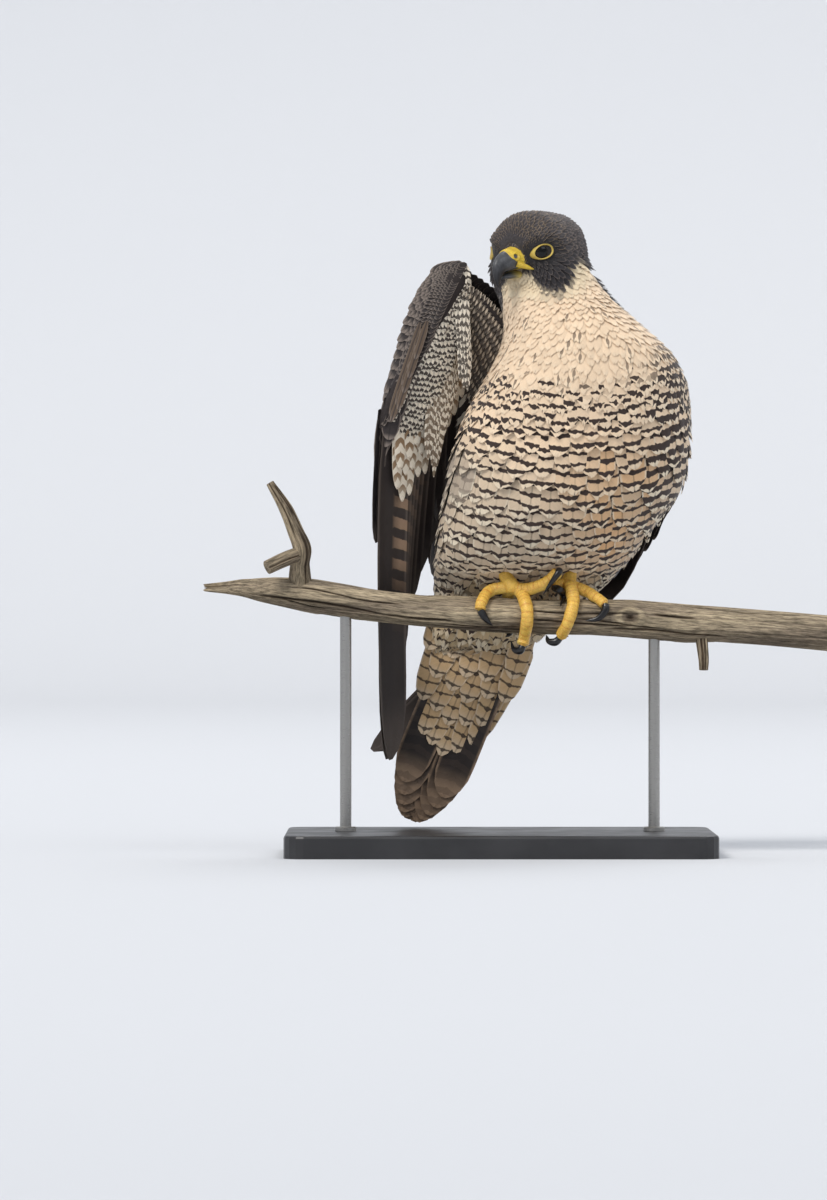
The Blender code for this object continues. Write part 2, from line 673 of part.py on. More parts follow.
LEFT_FOOT = {
    "sole": (48.0, 2.0, 188.5),
    "ankle": (50.0, 7.0, 200.0),
    "outer": ((58.7, -0.5, 184.8), (66.3, None, 180.4), (73.6, None, 175.0)),
    "outer_claw": ((73.3, None, 170.6), (68.1, None, 165.0), (59.5, None, 163.4)),
    "middle": ((49.2, -4.5, 187.0), (51.2, None, 178.5), (49.8, None, 170.0), (46.6, None, 160.5),
               (42.0, None, 151.5)),
    "middle_claw": ((38.6, -8.0, 148.6), (34.0, -6.5, 149.4), (32.4, -4.5, 153.6)),
    "inner": ((42.5, 0.5, 189.0), (38.2, -2.5, 186.4)),
    "inner_claw": ((41.6, -9.5, 185.0), (44.6, None, 180.4), (41.8, None, 173.4)),
    "hallux": ((47.0, None, 181.0), (46.0, None, 171.0), (45.5, None, 162.0)),
    "hallux_claw": ((45.5, None, 158.5), (46.0, None, 154.5), (48.0, None, 152.0)),
}
TOE_RADII = {"outer": (4.4, 3.5), "middle": (4.6, 3.9), "inner": (4.5, 3.9), "hallux": (4.8, 3.9)}
TOE_SCUTES = {"outer": 6, "middle": 9, "inner": 6, "hallux": 5}
CLAW_RADIUS = 2.7
CLAW_TAPER = (1.0, 1.0, 0.92, 0.76, 0.52, 0.12)
LOWEST_REACH = 6.5             # how far in front of the branch's middle line a toe hangs below it


def on_perch(x, z, stand_off, side):
    """A point at x and z whose distance from the branch is stand_off, in front (-1) or behind (1)."""
    xs = [station[0] for station in BRANCH_STATIONS]
    height = np.interp(x, xs, [station[1] for station in BRANCH_STATIONS])
    reach = np.interp(x, xs, [station[2] / 2.0 for station in BRANCH_STATIONS]) + stand_off
    rise = z - height
    depth = math.sqrt(max(reach ** 2 - rise ** 2, 0.0))
    if rise < 0.0:
        depth = max(depth, LOWEST_REACH)
    return np.array([x, side * depth, z])


def toe_line(foot, name, stand_off):
    """The places of a toe or claw, with each missing depth taken from the branch."""
    side = 1.0 if name.startswith("hallux") else -1.0
    line = []
    for x, depth, z in foot[name]:
        if depth is None:
            line.append(on_perch(x, z, stand_off, side))
        else:
            line.append(np.array([x, depth, z]))
    return line


def ringed_toe(path, radii, scutes, grow):
    """A toe ridged by a row of scutes, with a rounded end."""
    count = scutes * 2 + 1
    line = smooth_path(path, count)
    sizes = np.linspace(radii[0], radii[1], count)
    ridge = np.where(np.arange(count) % 2 == 0, 0.9, 1.08)
    ridge[-1] = 0.6
    return tube("toe", line, sizes * ridge + grow, 7)


def foot_pieces(foot, grow=0.0):
    """Bare shank, sole and four scaled toes of one foot."""
    sole = np.asarray(foot["sole"])
    ankle = np.asarray(foot["ankle"])
    rise = ankle - sole
    pieces = [tube("foot", (ankle + rise * 0.5, ankle, mix(ankle, sole, 0.6), sole, sole - (0.0, 0.0, 4.0)),
                   np.array([4.2, 4.4, 5.0, 6.4, 4.6]) + grow, 8)]
    for name, radii in TOE_RADII.items():
        line = [sole - (0.0, 0.0, 0.5)] + toe_line(foot, name, 3.8)
        pieces.append(ringed_toe(line, radii, TOE_SCUTES[name], grow))
    return pieces


def make_legs():
    for foot, side in ((RIGHT_FOOT, "right"), (LEFT_FOOT, "left")):
        whole = join(foot_pieces(foot))
        cut(whole, [branch_body(GAP), body_loft(GAP)])
        finish(whole, side + "_leg", SKIN_YELLOW, 0.5)
        for name in TOE_RADII:
            toe = toe_line(foot, name, 3.8)[-1]
            line = smooth_path([toe] + toe_line(foot, name + "_claw", 3.2), len(CLAW_TAPER))
            claw = tube("claw", line, CLAW_RADIUS * np.array(CLAW_TAPER), 6)
            cut(claw, foot_pieces(foot, GAP) + [branch_body(GAP)])
            finish(claw, side + "_claw_" + name, HORN_BLACK, 0.25, smooth=True)


# ------------------------------------------------------------------ tail

# (down from the tail's root, half width, half depth) of the fleshy rump inside the coverts
RUMP_SECTIONS = ((-14.0, 30.0, 9.0), (6.0, 34.0, 10.0), (30.0, 30.0, 8.0), (54.0, 18.0, 4.0))


def tail_axes():
    """Down the tail, sideways to its left and towards its back."""
    down = unit(np.asarray(TAIL_TIP) - np.asarray(TAIL_ROOT))
    aside = unit(np.array([1.0, 0.0, 0.0]) - down * down[0])
    return down, aside, np.cross(down, aside)


def tail_pieces():
    """Twelve closed tail feathers, the middle pair at the back, and tiers of coverts below and above."""
    down, aside, behind = tail_axes()
    if behind[1] < 0.0:
        behind = -behind
    root = np.asarray(TAIL_ROOT, dtype=float)
    length = np.linalg.norm(np.asarray(TAIL_TIP) - root)
    rings = []
    for reach, half_width, half_depth in RUMP_SECTIONS:
        rings.append(oval(root + down * reach, aside, behind, half_width, half_depth, 12))
    pieces = [loft("tail", rings)]
    for side in (-1.0, 1.0):
        for index in range(TAIL_FEATHERS // 2):
            layer = 5.5 - 2.0 * index - (1.0 if side > 0 else 0.0)
            start = root + aside * side * (2.0 + TAIL_ROOT_STEP * index) + behind * layer * 0.8 + down * 6.0
            end = root + aside * side * (2.5 + TAIL_TIP_STEP * index) + behind * layer
            end = end + down * (length - 0.9 * index ** 2)
            pieces.append(vane(start, end, aside * -side, TAIL_WIDTH, lead=0.42))
    for count, reach, spread, level in ((5, 88.0, 23.0, -7.6), (6, 60.0, 35.0, -10.5)):
        for index in range(count):
            place = (2.0 * index - (count - 1)) / (count - 1)
            depth = level * 0.7 - 0.95 * (index % 2)
            start = root + aside * place * spread * 0.85 + behind * depth
            end = start + down * (reach - 10.0 * abs(place)) + aside * place * spread * 0.15
            pieces.append(vane(start, end, aside, 19.0, lead=0.5, lift=1.5, short=True))
    for index in range(5):
        place = (index - 2) / 2.0
        start = root + aside * place * 14.0 + behind * (8.0 + 0.95 * (index % 2))
        end = start + down * (62.0 - 10.0 * abs(place)) + aside * place * 6.0
        pieces.append(vane(start, end, aside, 19.0, lead=0.5, lift=-1.0, short=True))
    return pieces


# ------------------------------------------------------------------ wings

RIGHT_PRIMARY_LEAN = (12.4, 27.0)       # degrees back from straight down, outermost and innermost
RIGHT_SECONDARY_LEAN = (29.0, 19.0)
RIGHT_ACROSS = (0.87, 0.50, 0.0)        # from leading to trailing edge, near the roots and at the tips
RIGHT_ACROSS_TIP = (0.68, 0.73, 0.0)
RIGHT_DORSAL = (-0.62, 0.78, 0.0)
LONG_COVERTS = 6
FAN_COVERTS = 7
LEFT_LAYER = 1.5                        # thickness that each feather of the folded wing takes
LEFT_FIRST_LAYER = 4.0
LEFT_INNERMOST = 5                      # the folded wing's inner primaries lie hidden under its secondaries
SECONDARIES = 6
SCAPULARS = 4
EDGE_COVERTS = 4


def hand_line(wrist, finger):
    """The two joints of a wing's hand as arrays, and the direction from the first to the second."""
    wrist = np.asarray(wrist, dtype=float)
    finger = np.asarray(finger, dtype=float)
    return wrist, finger, unit(finger - wrist)


def right_hand_pieces(grow=0.0):
    """Hand of the raised wing: its bones' sleeve, ten primaries, and their coverts above and below."""
    wrist, finger, along = hand_line(RIGHT_WRIST, RIGHT_FINGER)
    across = unit(RIGHT_ACROSS)
    dorsal = unit(RIGHT_DORSAL)
    sleeve = (wrist - along * 9.0, wrist - along * 3.0, wrist + along * 8.0, mix(wrist, finger, 0.45),
              finger, finger + along * 16.0)
    core = tube("hand", sleeve, np.array([5.0, 10.5, 12.0, 10.5, 7.5, 3.0]) + grow, 10, 0.9)
    pieces = [core]
    for number in range(10, 0, -1):
        share = (10 - number) / 9.0
        root = mix(finger, wrist, share * 0.94) + along * 3.0 * (1.0 - share)
        lean = math.radians(mix(RIGHT_PRIMARY_LEAN[0], RIGHT_PRIMARY_LEAN[1], share ** 0.9))
        drift = -0.08 * math.sin(math.pi * share)
        axis = unit((drift, math.sin(lean), -math.cos(lean)))
        tip = root + axis * primary_length(number)
        pieces.append(vane(root, tip, across, 25.0, bow=4.0, lead=0.28, grow=grow, turned=RIGHT_ACROSS_TIP))
    for index in range(LONG_COVERTS):
        share = index / (LONG_COVERTS - 1.0)
        root = mix(finger, wrist, share * 0.9)
        lean = math.radians(mix(RIGHT_PRIMARY_LEAN[0], RIGHT_PRIMARY_LEAN[1], share))
        axis = unit((-0.05, math.sin(lean), -math.cos(lean)))
        start = root + dorsal * 4.0
        end = start + axis * (88.0 - 30.0 * share) + dorsal * (2.0 + 6.0 * share)
        pieces.append(vane(start, end, across, 18.0, bow=1.0, short=True, grow=grow))
        if index % 2 == 0:
            start = root - dorsal * 4.0
            end = start + axis * (80.0 - 24.0 * share) - dorsal * 4.0
            pieces.append(vane(start, end, across, 17.0, bow=1.0, short=True, grow=grow))
    edge = [mix(wrist, finger, place) + (-2.0, -5.0, 0.0) for place in (-0.1, 0.1, 0.5, 1.0)]
    last = [point + (-5.0, 9.0, 0.0) for point in edge]
    turn = np.radians((20.0, 40.0, 64.0, 84.0))
    ways = np.stack([-np.cos(turn), 0.12 + 0.0 * turn, -np.sin(turn)], axis=-1)
    short = np.array((9.0, 13.0, 22.0, 34.0))[:, None]
    long = np.array((14.0, 21.0, 36.0, 54.0))[:, None]
    faces = (((-0.25, -0.95, 0.35),) * 4, ((-0.85, -0.5, 0.35),) * 4)
    for root, tip, sideways, down in tract(edge, last, (ways * short, ways * long), faces, 2, FAN_COVERTS):
        pieces.append(vane(root, tip, sideways, 17.0 + 4.0 * down, lead=0.5, short=True, grow=grow))
    return pieces


def arm_core(name, shoulder, elbow, wrist, thick, grow, belly=0.0):
    """The triangle of shoulder, elbow and wrist with its fold of skin, as a padded plate."""
    shoulder = np.asarray(shoulder, dtype=float)
    elbow = np.asarray(elbow, dtype=float)
    wrist = np.asarray(wrist, dtype=float)
    facing = unit(np.cross(wrist - shoulder, elbow - shoulder))
    spanwise = unit(wrist - shoulder)
    bulge = unit(np.cross(spanwise, facing))
    if np.dot(bulge, elbow - shoulder) > 0.0:
        bulge = -bulge
    rings = []
    for share in (0.0, 0.2, 0.4, 0.6, 0.8, 1.0):
        free_edge = mix(shoulder, wrist, share) + bulge * belly * share ** 1.4
        bone = mix(shoulder, elbow, share / 0.4) if share < 0.4 else mix(elbow, wrist, (share - 0.4) / 0.6)
        chord = bone - free_edge
        if np.linalg.norm(chord) < 1.0:
            chord = unit(elbow - mix(shoulder, wrist, 0.4))
        chord = unit(chord - spanwise * np.dot(chord, spanwise))
        reach = np.linalg.norm(bone - free_edge) / 2.0 + 8.0
        depth = thick * (1.25 - 0.55 * share)
        rings.append(oval(mix(free_edge, bone, 0.5), chord, facing, reach + grow, depth + grow, 10))
    return loft(name, rings)


def right_arm_pieces():
    """Arm of the raised wing: the padded plate, its secondaries and tiers of coverts on both sides."""
    shoulder = np.asarray(RIGHT_SHOULDER)
    elbow = np.asarray(RIGHT_ELBOW)
    wrist = np.asarray(RIGHT_WRIST)
    across = unit((0.78, 0.62, 0.0))
    dorsal = unit((-0.62, 0.78, 0.0))
    pieces = [arm_core("arm", shoulder, elbow, wrist, 9.0, 0.0, belly=15.0)]
    for index in range(SECONDARIES):
        share = index / (SECONDARIES - 1.0)
        root = mix(wrist, elbow, 0.12 + 0.84 * share)
        lean = math.radians(mix(RIGHT_SECONDARY_LEAN[0], RIGHT_SECONDARY_LEAN[1], share))
        axis = unit((-0.16, math.sin(lean), -math.cos(lean)))
        start = root + dorsal * 2.0
        tip = start + axis * (SECONDARY_LENGTH - 14.0 * share) + dorsal * 4.0
        pieces.append(vane(start, tip, across, 24.0, bow=3.0))
        for reach, first, last, wide in ((70.0, 4.5, 14.0, 18.0), (42.0, 6.0, 17.0, 15.0)):
            start = root + dorsal * first
            tip = start + axis * reach + dorsal * (last - first)
            pieces.append(vane(start, tip, across, wide, short=True))
        if index > 1:
            start = root - dorsal * 3.0
            tip = start + axis * 62.0 - dorsal * 6.0
            pieces.append(vane(start, tip, across, 15.0, short=True))
    front = [mix(wrist, shoulder, place) + (5.0, 1.0, 5.0) for place in (0.1, 0.4, 0.7, 0.95)]
    middle = [mix(wrist, elbow, place) + dorsal * 3.0 + (4.0, 0.0, 6.0) for place in (0.1, 0.4, 0.7, 0.95)]
    aims = (((-6.0, 16.0, -20.0),) * 4, ((-12.0, 26.0, -44.0),) * 4)
    faces = (((-0.2, 0.6, 0.75),) * 4, ((-0.6, 0.75, 0.3),) * 4)
    for root, tip, sideways, _ in tract(front, middle, aims, faces, 2, 4):
        pieces.append(vane(root, tip, sideways, 22.0, lead=0.5, short=True))
    for index in range(5):
        share = index / 4.0
        start = mix(elbow, shoulder, 0.1 + 0.5 * share) - dorsal * 4.0
        tip = start + np.array([-20.0 + 6.0 * share, 6.0, -92.0 + 18.0 * share])
        pieces.append(vane(start, tip, (0.9, -0.3, 0.0), 15.0, lead=0.5))
    return pieces


def left_wing_pieces():
    """Folded wing laid over the flank and back, its primaries crossing behind the tail."""
    wrist, finger, along = hand_line(LEFT_WRIST, LEFT_FINGER)
    shoulder = np.asarray(LEFT_SHOULDER)
    elbow = np.asarray(LEFT_ELBOW)
    hand = smooth_path((wrist - along * 4.0, mix(wrist, finger, 0.5), finger, finger + along * 14.0), 6)
    hand = [off_trunk(point, 3.0)[0] for point in hand]
    pieces = [tube("hand", hand, (6.0, 9.0, 9.0, 8.0, 6.0, 3.0), 10, 0.62),
              arm_core("arm", shoulder, elbow, wrist, 9.0, 0.0)]
    for number in range(10, LEFT_INNERMOST, -1):
        share = (10 - number) / 9.0
        root = mix(finger, wrist, share * 0.94)
        aim = unit(mix(LEFT_LONG_TIP, LEFT_SHORT_TIP, share ** 0.9) - root)
        tip = root + aim * primary_length(number)
        layer = LEFT_FIRST_LAYER + LEFT_LAYER * (10 - number)
        pieces.append(vane(root, tip, np.cross((0.3, 0.95, 0.0), aim), 24.0, bow=4.0, wrap=(layer, layer)))
    top = LEFT_FIRST_LAYER + LEFT_LAYER * (10 - LEFT_INNERMOST)
    for index in range(SECONDARIES):
        share = index / (SECONDARIES - 1.0)
        root = mix(wrist, elbow, 0.08 + 0.9 * share)
        target = mix(LEFT_FIRST_SECONDARY_TIP, LEFT_LAST_SECONDARY_TIP, share)
        aim = unit(target - root)
        across = np.cross((0.3, 0.95, 0.0), aim)
        tip = root + aim * (SECONDARY_LENGTH - 14.0 * share)
        pieces.append(vane(root, tip, across, 25.0, wrap=(top, top + 1.5)))
        for reach, wide, back, rise in ((82.0, 20.0, 8.0, 4.5), (50.0, 18.0, 16.0, 7.0)):
            start = root - aim * back
            pieces.append(vane(start, start + aim * reach, across, wide, wrap=(top, top + rise), short=True))
    for index in range(SCAPULARS):
        share = index / (SCAPULARS - 1.0)
        start = mix(shoulder, elbow, 0.1 + 0.9 * share)
        tip = start + mix((-58.0, 30.0, -52.0), (-26.0, 10.0, -84.0), share)
        pieces.append(vane(start, tip, (-1.0, 0.3, 0.0), 24.0, wrap=(top, top + 8.5), lead=0.5, short=True))
    edge = [mix(shoulder, wrist, 0.3), wrist, mix(wrist, finger, 0.5), finger]
    for index in range(EDGE_COVERTS):
        start = smooth_at(edge, index / (EDGE_COVERTS - 1.0))
        pieces.append(vane(start, start + (-16.0, 14.0, -34.0), (-1.0, 0.3, 0.0), 20.0, wrap=(6.0, top + 3.0),
                           lead=0.5, short=True))
    return pieces


# ------------------------------------------------------------------ build

def main():
    for thing in list(bpy.data.objects):
        bpy.data.objects.remove(thing)
    bpy.context.scene.collection.children.link(PARTS)
    make_perch()
    make_stand()
    make_head_and_body()
    make_bill()
    make_legs()
    right_hand = join(right_hand_pieces())
    finish(right_hand, "right_wing_hand", SLATE, 0.7)
    right_arm = join(right_arm_pieces())
    cut(right_arm, [body_loft(GAP)] + right_hand_pieces(GAP))
    finish(right_arm, "right_wing_arm", SLATE, 0.7)
    left_wing = join(left_wing_pieces())
    cut(left_wing, [body_loft(GAP)])
    finish(left_wing, "left_wing", SLATE, 0.7)
    tail = join(tail_pieces())
    cut(tail, [body_loft(GAP)])
    finish(tail, "tail", SLATE, 0.7)


main()
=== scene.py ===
"""Adult peregrine falcon on a cut length of dead branch, life size: the finish of every surface.

The file is laid out as an add-on and run as a script. Its functions work in millimetres, in the
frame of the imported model: +Z up, the bird faces -Y, and its left side is at +X.
"""

import math

import bmesh
import bpy
import mathutils
import numpy as np
from bpy.props import FloatProperty, FloatVectorProperty, PointerProperty
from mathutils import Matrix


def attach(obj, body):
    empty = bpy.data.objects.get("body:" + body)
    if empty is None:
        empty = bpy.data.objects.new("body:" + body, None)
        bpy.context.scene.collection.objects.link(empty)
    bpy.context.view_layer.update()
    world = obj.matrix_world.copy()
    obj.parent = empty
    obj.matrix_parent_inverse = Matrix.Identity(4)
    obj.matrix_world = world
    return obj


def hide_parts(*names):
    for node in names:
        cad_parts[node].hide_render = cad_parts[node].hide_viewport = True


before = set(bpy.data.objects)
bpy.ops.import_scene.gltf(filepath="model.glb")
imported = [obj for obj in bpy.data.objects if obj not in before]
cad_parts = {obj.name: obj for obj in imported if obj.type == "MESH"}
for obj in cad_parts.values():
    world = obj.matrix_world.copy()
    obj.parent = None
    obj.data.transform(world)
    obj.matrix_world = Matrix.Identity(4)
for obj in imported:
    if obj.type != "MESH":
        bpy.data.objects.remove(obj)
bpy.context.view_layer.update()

bl_info = {
    "name": "Peregrine Falcon Display Model",
    "version": (1, 0, 0),
    "blender": (4, 5, 0),
    "location": "View3D > Sidebar > Falcon",
    "description": "Builds the plumage, bare parts, perch and stand of a life-size falcon model",
    "category": "Add Mesh",
}

MM = 0.001
BODY = "root"
DARK, PALE = "dark_plumage", "pale_plumage"

# ---- sizes shared with the solids

# trunk of the body: (z, x right side, x left side, y front, y back) of level sections
BODY_SECTIONS = np.array((
    (140, -44, 12, 53, 67), (146, -46, 24, 47, 68), (152, -47, 31, 38, 71),
    (166, -47, 44, 29, 76), (178, -45.5, 60, 22, 79), (186, -46.5, 73, 15, 80),
    (194, -46.5, 82, 2, 81), (202, -46.5, 89, -15, 81), (214, -45.5, 98, -31, 80),
    (232, -43, 111, -44, 78), (256, -39, 130, -54, 74), (282, -34, 134.5, -62.5, 69),
    (308, -25, 134, -69, 62), (332, -11, 131, -72.5, 54), (352, 0, 120, -72, 46),
    (368, 3, 101, -67, 37), (382, 1, 85, -59, 26), (394, -3, 75, -51, 18),
    (406, -3, 67, -47, 14), (418, 5, 59, -42, 9), (428, 14, 46, -34, 0),
))
BODY_POWER = 2.25
HEAD_MIDDLE = np.array((27.3, -22, 420))
HEAD_TURN = math.radians(38)
HEAD_DIP = math.radians(12)
# (forward, half width, top, bottom) of sections across the head
HEAD_SECTIONS = np.array((
    (-34, 6, 6, -6), (-31.5, 14, 14, -12), (-26, 22.5, 22.5, -20),
    (-14, 28, 26.2, -27.5), (-1, 30.6, 29.4, -30.5), (10, 31.2, 31.2, -30.5),
    (18, 28.4, 29.5, -28), (24, 23.6, 25, -24), (28.5, 17, 18.5, -19), (31.5, 11, 10.5, -13.5),
))
HEAD_POWER = 2.15
CHEEK_FULLNESS = 0.06
CHEEK_BULGE = ((20, 30, -14), 13.5, 5.6)  # place of the fluffed cheek, its reach and height
FAR_LORE = ((31, -19, 3), 7, 3.6)  # the same for the fluffed feathers before the right eye
BROW_RIDGE = ((31, 13, 11), (15, 27, 13), 5.5, 2.6)  # its two ends, reach and height
EYE_SPOT = (25.2, 22.6, 4.4)
FAR_EYE_SINK = 2.2               # how much deeper the right eye sits behind its fluffed cheek
EYE_FACING = (0.52, 0.85, 0.06)
RIGHT_EYE_SPOT = (22.4, 23.6, 4.4)
RIGHT_EYE_FACING = (0.2, 0.97, 0.06)  # the right eye lies flatter against its fluffed cheek
EYE_RADIUS = 8.6
LID_HALF = (7.5, 5.2)            # half width and half height of the bare ring round an eye

RIGHT_SHOULDER = np.array((14, 8, 346))
RIGHT_ELBOW = np.array((-18, 50, 326))
RIGHT_WRIST = np.array((-31, -15, 401))
RIGHT_FINGER = np.array((-76, -8, 312))
LEFT_ELBOW = np.array((66, 84, 300))
LEFT_WRIST = np.array((116, 34, 322))
LEFT_FINGER = np.array((98, 66, 240))
LEFT_LONG_TIP = np.array((-104, 92, 57))
LEFT_SHORT_TIP = np.array((22, 92, 186))
LONGEST_PRIMARY = 262
SHORTEST_PRIMARY = 163
SECONDARY_LENGTH = 158
TAIL_ROOT = np.array((-5, 59, 163))
TAIL_TIP = np.array((-63, 72, 21))

# branch: (x, z, diameter) of stations along its middle line, at y = 0
BRANCH_STATIONS = np.array((
    (-203, 186.6, 5), (-182, 186.6, 12), (-157, 184, 19), (-133, 181, 23.5),
    (-109, 177.6, 23.5), (-89, 174.8, 22), (-56, 170.6, 21.5), (-14, 167.8, 23.5),
    (31, 166.4, 24), (63, 166, 24.5), (91, 164.7, 26.5), (130, 161.5, 26.5),
    (154, 160.8, 24.5), (234, 154.4, 24),
))
TWIG_PATH = ((-140, 0, 186), (-140, -3, 203), (-138.5, -8, 214), (-143, -8, 226),
             (-150, -5, 242), (-161, -3, 260))
TWIG_RADII = (9, 7, 6.6, 5.6, 4.6, 2.6)
SNAG_PATH = ((-140.5, -8, 210), (-151, -16, 206), (-162.5, -21, 200.5))
SNAG_RADII = (5.2, 5.2, 5)
STUB_PATH = ((141, -4, 153), (142.5, -7, 138), (142.5, -8, 129))
STUB_RADII = (4.2, 3.6, 3)
ROD_X = 108
ROD_RADIUS = 4
BASE_THICK = 16

# each foot: its sole, and its toes and claws as (x, depth, z), where a depth of None lies on the branch
RIGHT_FOOT = {
    "sole": (7.7, -1, 187.5),
    "ankle": (2, 4, 199),
    "outer": ((-6.6, -1, 184.6), (-13, None, 176.5), (-14, None, 171)),
    "outer_claw": ((-12.4, None, 168.6), (-9.3, None, 164), (-5.3, None, 160)),
    "middle": ((14.5, -3, 183), (18.4, None, 173.5), (18.8, None, 163), (17, None, 152),
               (15.8, None, 146)),
    "middle_claw": ((13.9, -6.5, 142.6), (9.8, -3.5, 143.5), (7.7, 0, 149.5)),
    "inner": ((16.5, -3, 185.4), (26.5, -8, 187.4), (34.5, -12, 191.8), (41, -14.5, 198.6)),
    "inner_claw": ((40.6, -18.2, 197), (35.7, -19, 190), (29.9, -16.5, 181.8)),
    "hallux": ((6.5, None, 181), (7, None, 171), (8, None, 162)),
    "hallux_claw": ((8, None, 158.5), (7, None, 154.5), (4, None, 152)),
}
LEFT_FOOT = {
    "sole": (48, 2, 188.5),
    "ankle": (50, 7, 200),
    "outer": ((58.7, -0.5, 184.8), (66.3, None, 180.4), (73.6, None, 175)),
    "outer_claw": ((73.3, None, 170.6), (68.1, None, 165), (59.5, None, 163.4)),
    "middle": ((49.2, -4.5, 187), (51.2, None, 178.5), (49.8, None, 170), (46.6, None, 160.5),
               (42, None, 151.5)),
    "middle_claw": ((38.6, -8, 148.6), (34, -6.5, 149.4), (32.4, -4.5, 153.6)),
    "inner": ((42.5, 0.5, 189), (38.2, -2.5, 186.4)),
    "inner_claw": ((41.6, -9.5, 185), (44.6, None, 180.4), (41.8, None, 173.4)),
    "hallux": ((47, None, 181), (46, None, 171), (45.5, None, 162)),
    "hallux_claw": ((45.5, None, 158.5), (46, None, 154.5), (48, None, 152)),
}
TOE_RADII = {"outer": (4.4, 3.5), "middle": (4.6, 3.9), "inner": (4.5, 3.9), "hallux": (4.8, 3.9)}
LOWEST_REACH = 6.5               # least depth, before or behind the branch's middle, of a toe below it


# ---- numbers and curves

def vectors(*parts):
    """Vectors whose parts are the given arrays."""
    return np.stack(parts, axis=-1)


def unit(ways):
    """Vectors along the last axis, scaled to length one."""
    ways = np.asarray(ways, dtype=float)
    return ways / np.maximum(np.linalg.norm(ways, axis=-1, keepdims=True), 1e-9)


def mix(first, second, share):
    """The value that lies the given share of the way from first to second."""
    return np.asarray(first, dtype=float) * (1 - share) + np.asarray(second, dtype=float) * share


def ease(low, high, value):
    """A smooth step: 0 at low, 1 at high, flat at both ends."""
    share = np.clip((np.asarray(value, dtype=float) - low) / (high - low), 0, 1)
    return share * share * (3 - 2 * share)


def linear(hex_colour):
    """An sRGB hex colour as linear red, green and blue."""
    values = np.array([int(hex_colour[place:place + 2], 16) for place in (1, 3, 5)]) / 255
    return np.where(values <= 0.04045, values / 12.92, ((values + 0.055) / 1.055) ** 2.4)


def smooth_at(points, share):
    """Places on a Catmull-Rom curve through the points; share runs from 0 at the first to 1 at the last."""
    points = np.asarray(points, dtype=float)
    padded = np.vstack([2 * points[0] - points[1], points, 2 * points[-1] - points[-2]])
    place = np.clip(np.asarray(share, dtype=float), 0, 1) * (len(points) - 1)
    span = np.minimum(place.astype(int), len(points) - 2)
    t = (place - span)[..., None]
    a, b, c, d = (padded[span + k] for k in range(4))
    return 0.5 * (2 * b + (c - a) * t + (2 * a - 5 * b + 4 * c - d) * t ** 2 + (3 * b - a - 3 * c + d) * t ** 3)


def smooth_path(points, count):
    """Count points spread evenly on a smooth curve through the given ones."""
    return smooth_at(points, np.linspace(0, 1, count))


# each group of pieces draws from its own row of chance numbers
SEEDS = {"head coat": 7, "body coat": 11, "right hand": 23, "left wing": 29, "tail": 31, "right arm": 37, "perch": 41}


def draws(part):
    """The row of chance numbers of a group of pieces, the same at each run."""
    return np.random.default_rng(SEEDS[part])


def turns_of(count):
    """Count angles spread evenly round a whole turn."""
    return 2 * math.pi * np.arange(count) / count


def spread_values(values, count):
    """Values read at count even places along a row of them."""
    return np.interp(np.linspace(0, len(values) - 1, count), np.arange(len(values)), values)


# ---- the bird's outer form

def head_axes():
    """Forward, leftward and upward directions of the turned and dipped head."""
    forward = np.array([-math.sin(HEAD_TURN) * math.cos(HEAD_DIP), -math.cos(HEAD_TURN) * math.cos(HEAD_DIP),
        -math.sin(HEAD_DIP)])
    leftward = np.array([math.cos(HEAD_TURN), -math.sin(HEAD_TURN), 0])
    return forward, leftward, np.cross(forward, leftward)


FORWARD, LEFTWARD, UPWARD = head_axes()
HEAD_FRAME = np.array([FORWARD, LEFTWARD, UPWARD])


def head_point(ahead, aside, above):
    """Places given forward, to the left and upward from the head's middle."""
    local = np.stack(np.broadcast_arrays(ahead, aside, above), axis=-1).astype(float)
    return HEAD_MIDDLE + local @ HEAD_FRAME


def in_head(points):
    """Places as forward, leftward and upward from the head's middle."""
    return (points - HEAD_MIDDLE) @ HEAD_FRAME.T


def smoothed_sections(sections, step, width):
    """Sections read at a fine even step along their first value, each column softened over width."""
    places = np.arange(sections[0, 0], sections[-1, 0] + step, step)
    half = int(3 * width / step)
    bell = np.exp(-0.5 * (np.arange(-half, half + 1) * step / width) ** 2)
    bell /= bell.sum()
    columns = [places]
    for column in sections.T[1:]:
        values = np.interp(places, sections[:, 0], column)
        ends = np.pad(values, half, mode="reflect", reflect_type="odd")
        columns.append(np.convolve(ends, bell, mode="valid"))
    return np.array(columns)


BODY_FINE = smoothed_sections(BODY_SECTIONS, 1, 5)
HEAD_FINE = smoothed_sections(HEAD_SECTIONS, 0.25, 1.5)


def trunk_section(height):
    """Middle and half sizes, in x and y, of the trunk's level section at a height."""
    right, left, front, back = (np.interp(height, BODY_FINE[0], BODY_FINE[k]) for k in range(1, 5))
    return (right + left) / 2, (front + back) / 2, (left - right) / 2, (back - front) / 2


def trunk_distance(points):
    """How far points lie outside the trunk: level distance from its rounded oval section, and past its ends."""
    middle_x, middle_y, half_x, half_y = trunk_section(points[..., 2])
    aside = points[..., 0] - middle_x
    behind = points[..., 1] - middle_y
    radius = np.hypot(aside, behind)
    reach = (np.abs(aside / half_x) ** BODY_POWER + np.abs(behind / half_y) ** BODY_POWER) ** (1 / BODY_POWER)
    level = radius - radius / np.maximum(reach, 1e-6)
    ends = np.maximum(BODY_FINE[0, 0] - points[..., 2], points[..., 2] - BODY_FINE[0, -1])
    return np.maximum(level, ends)


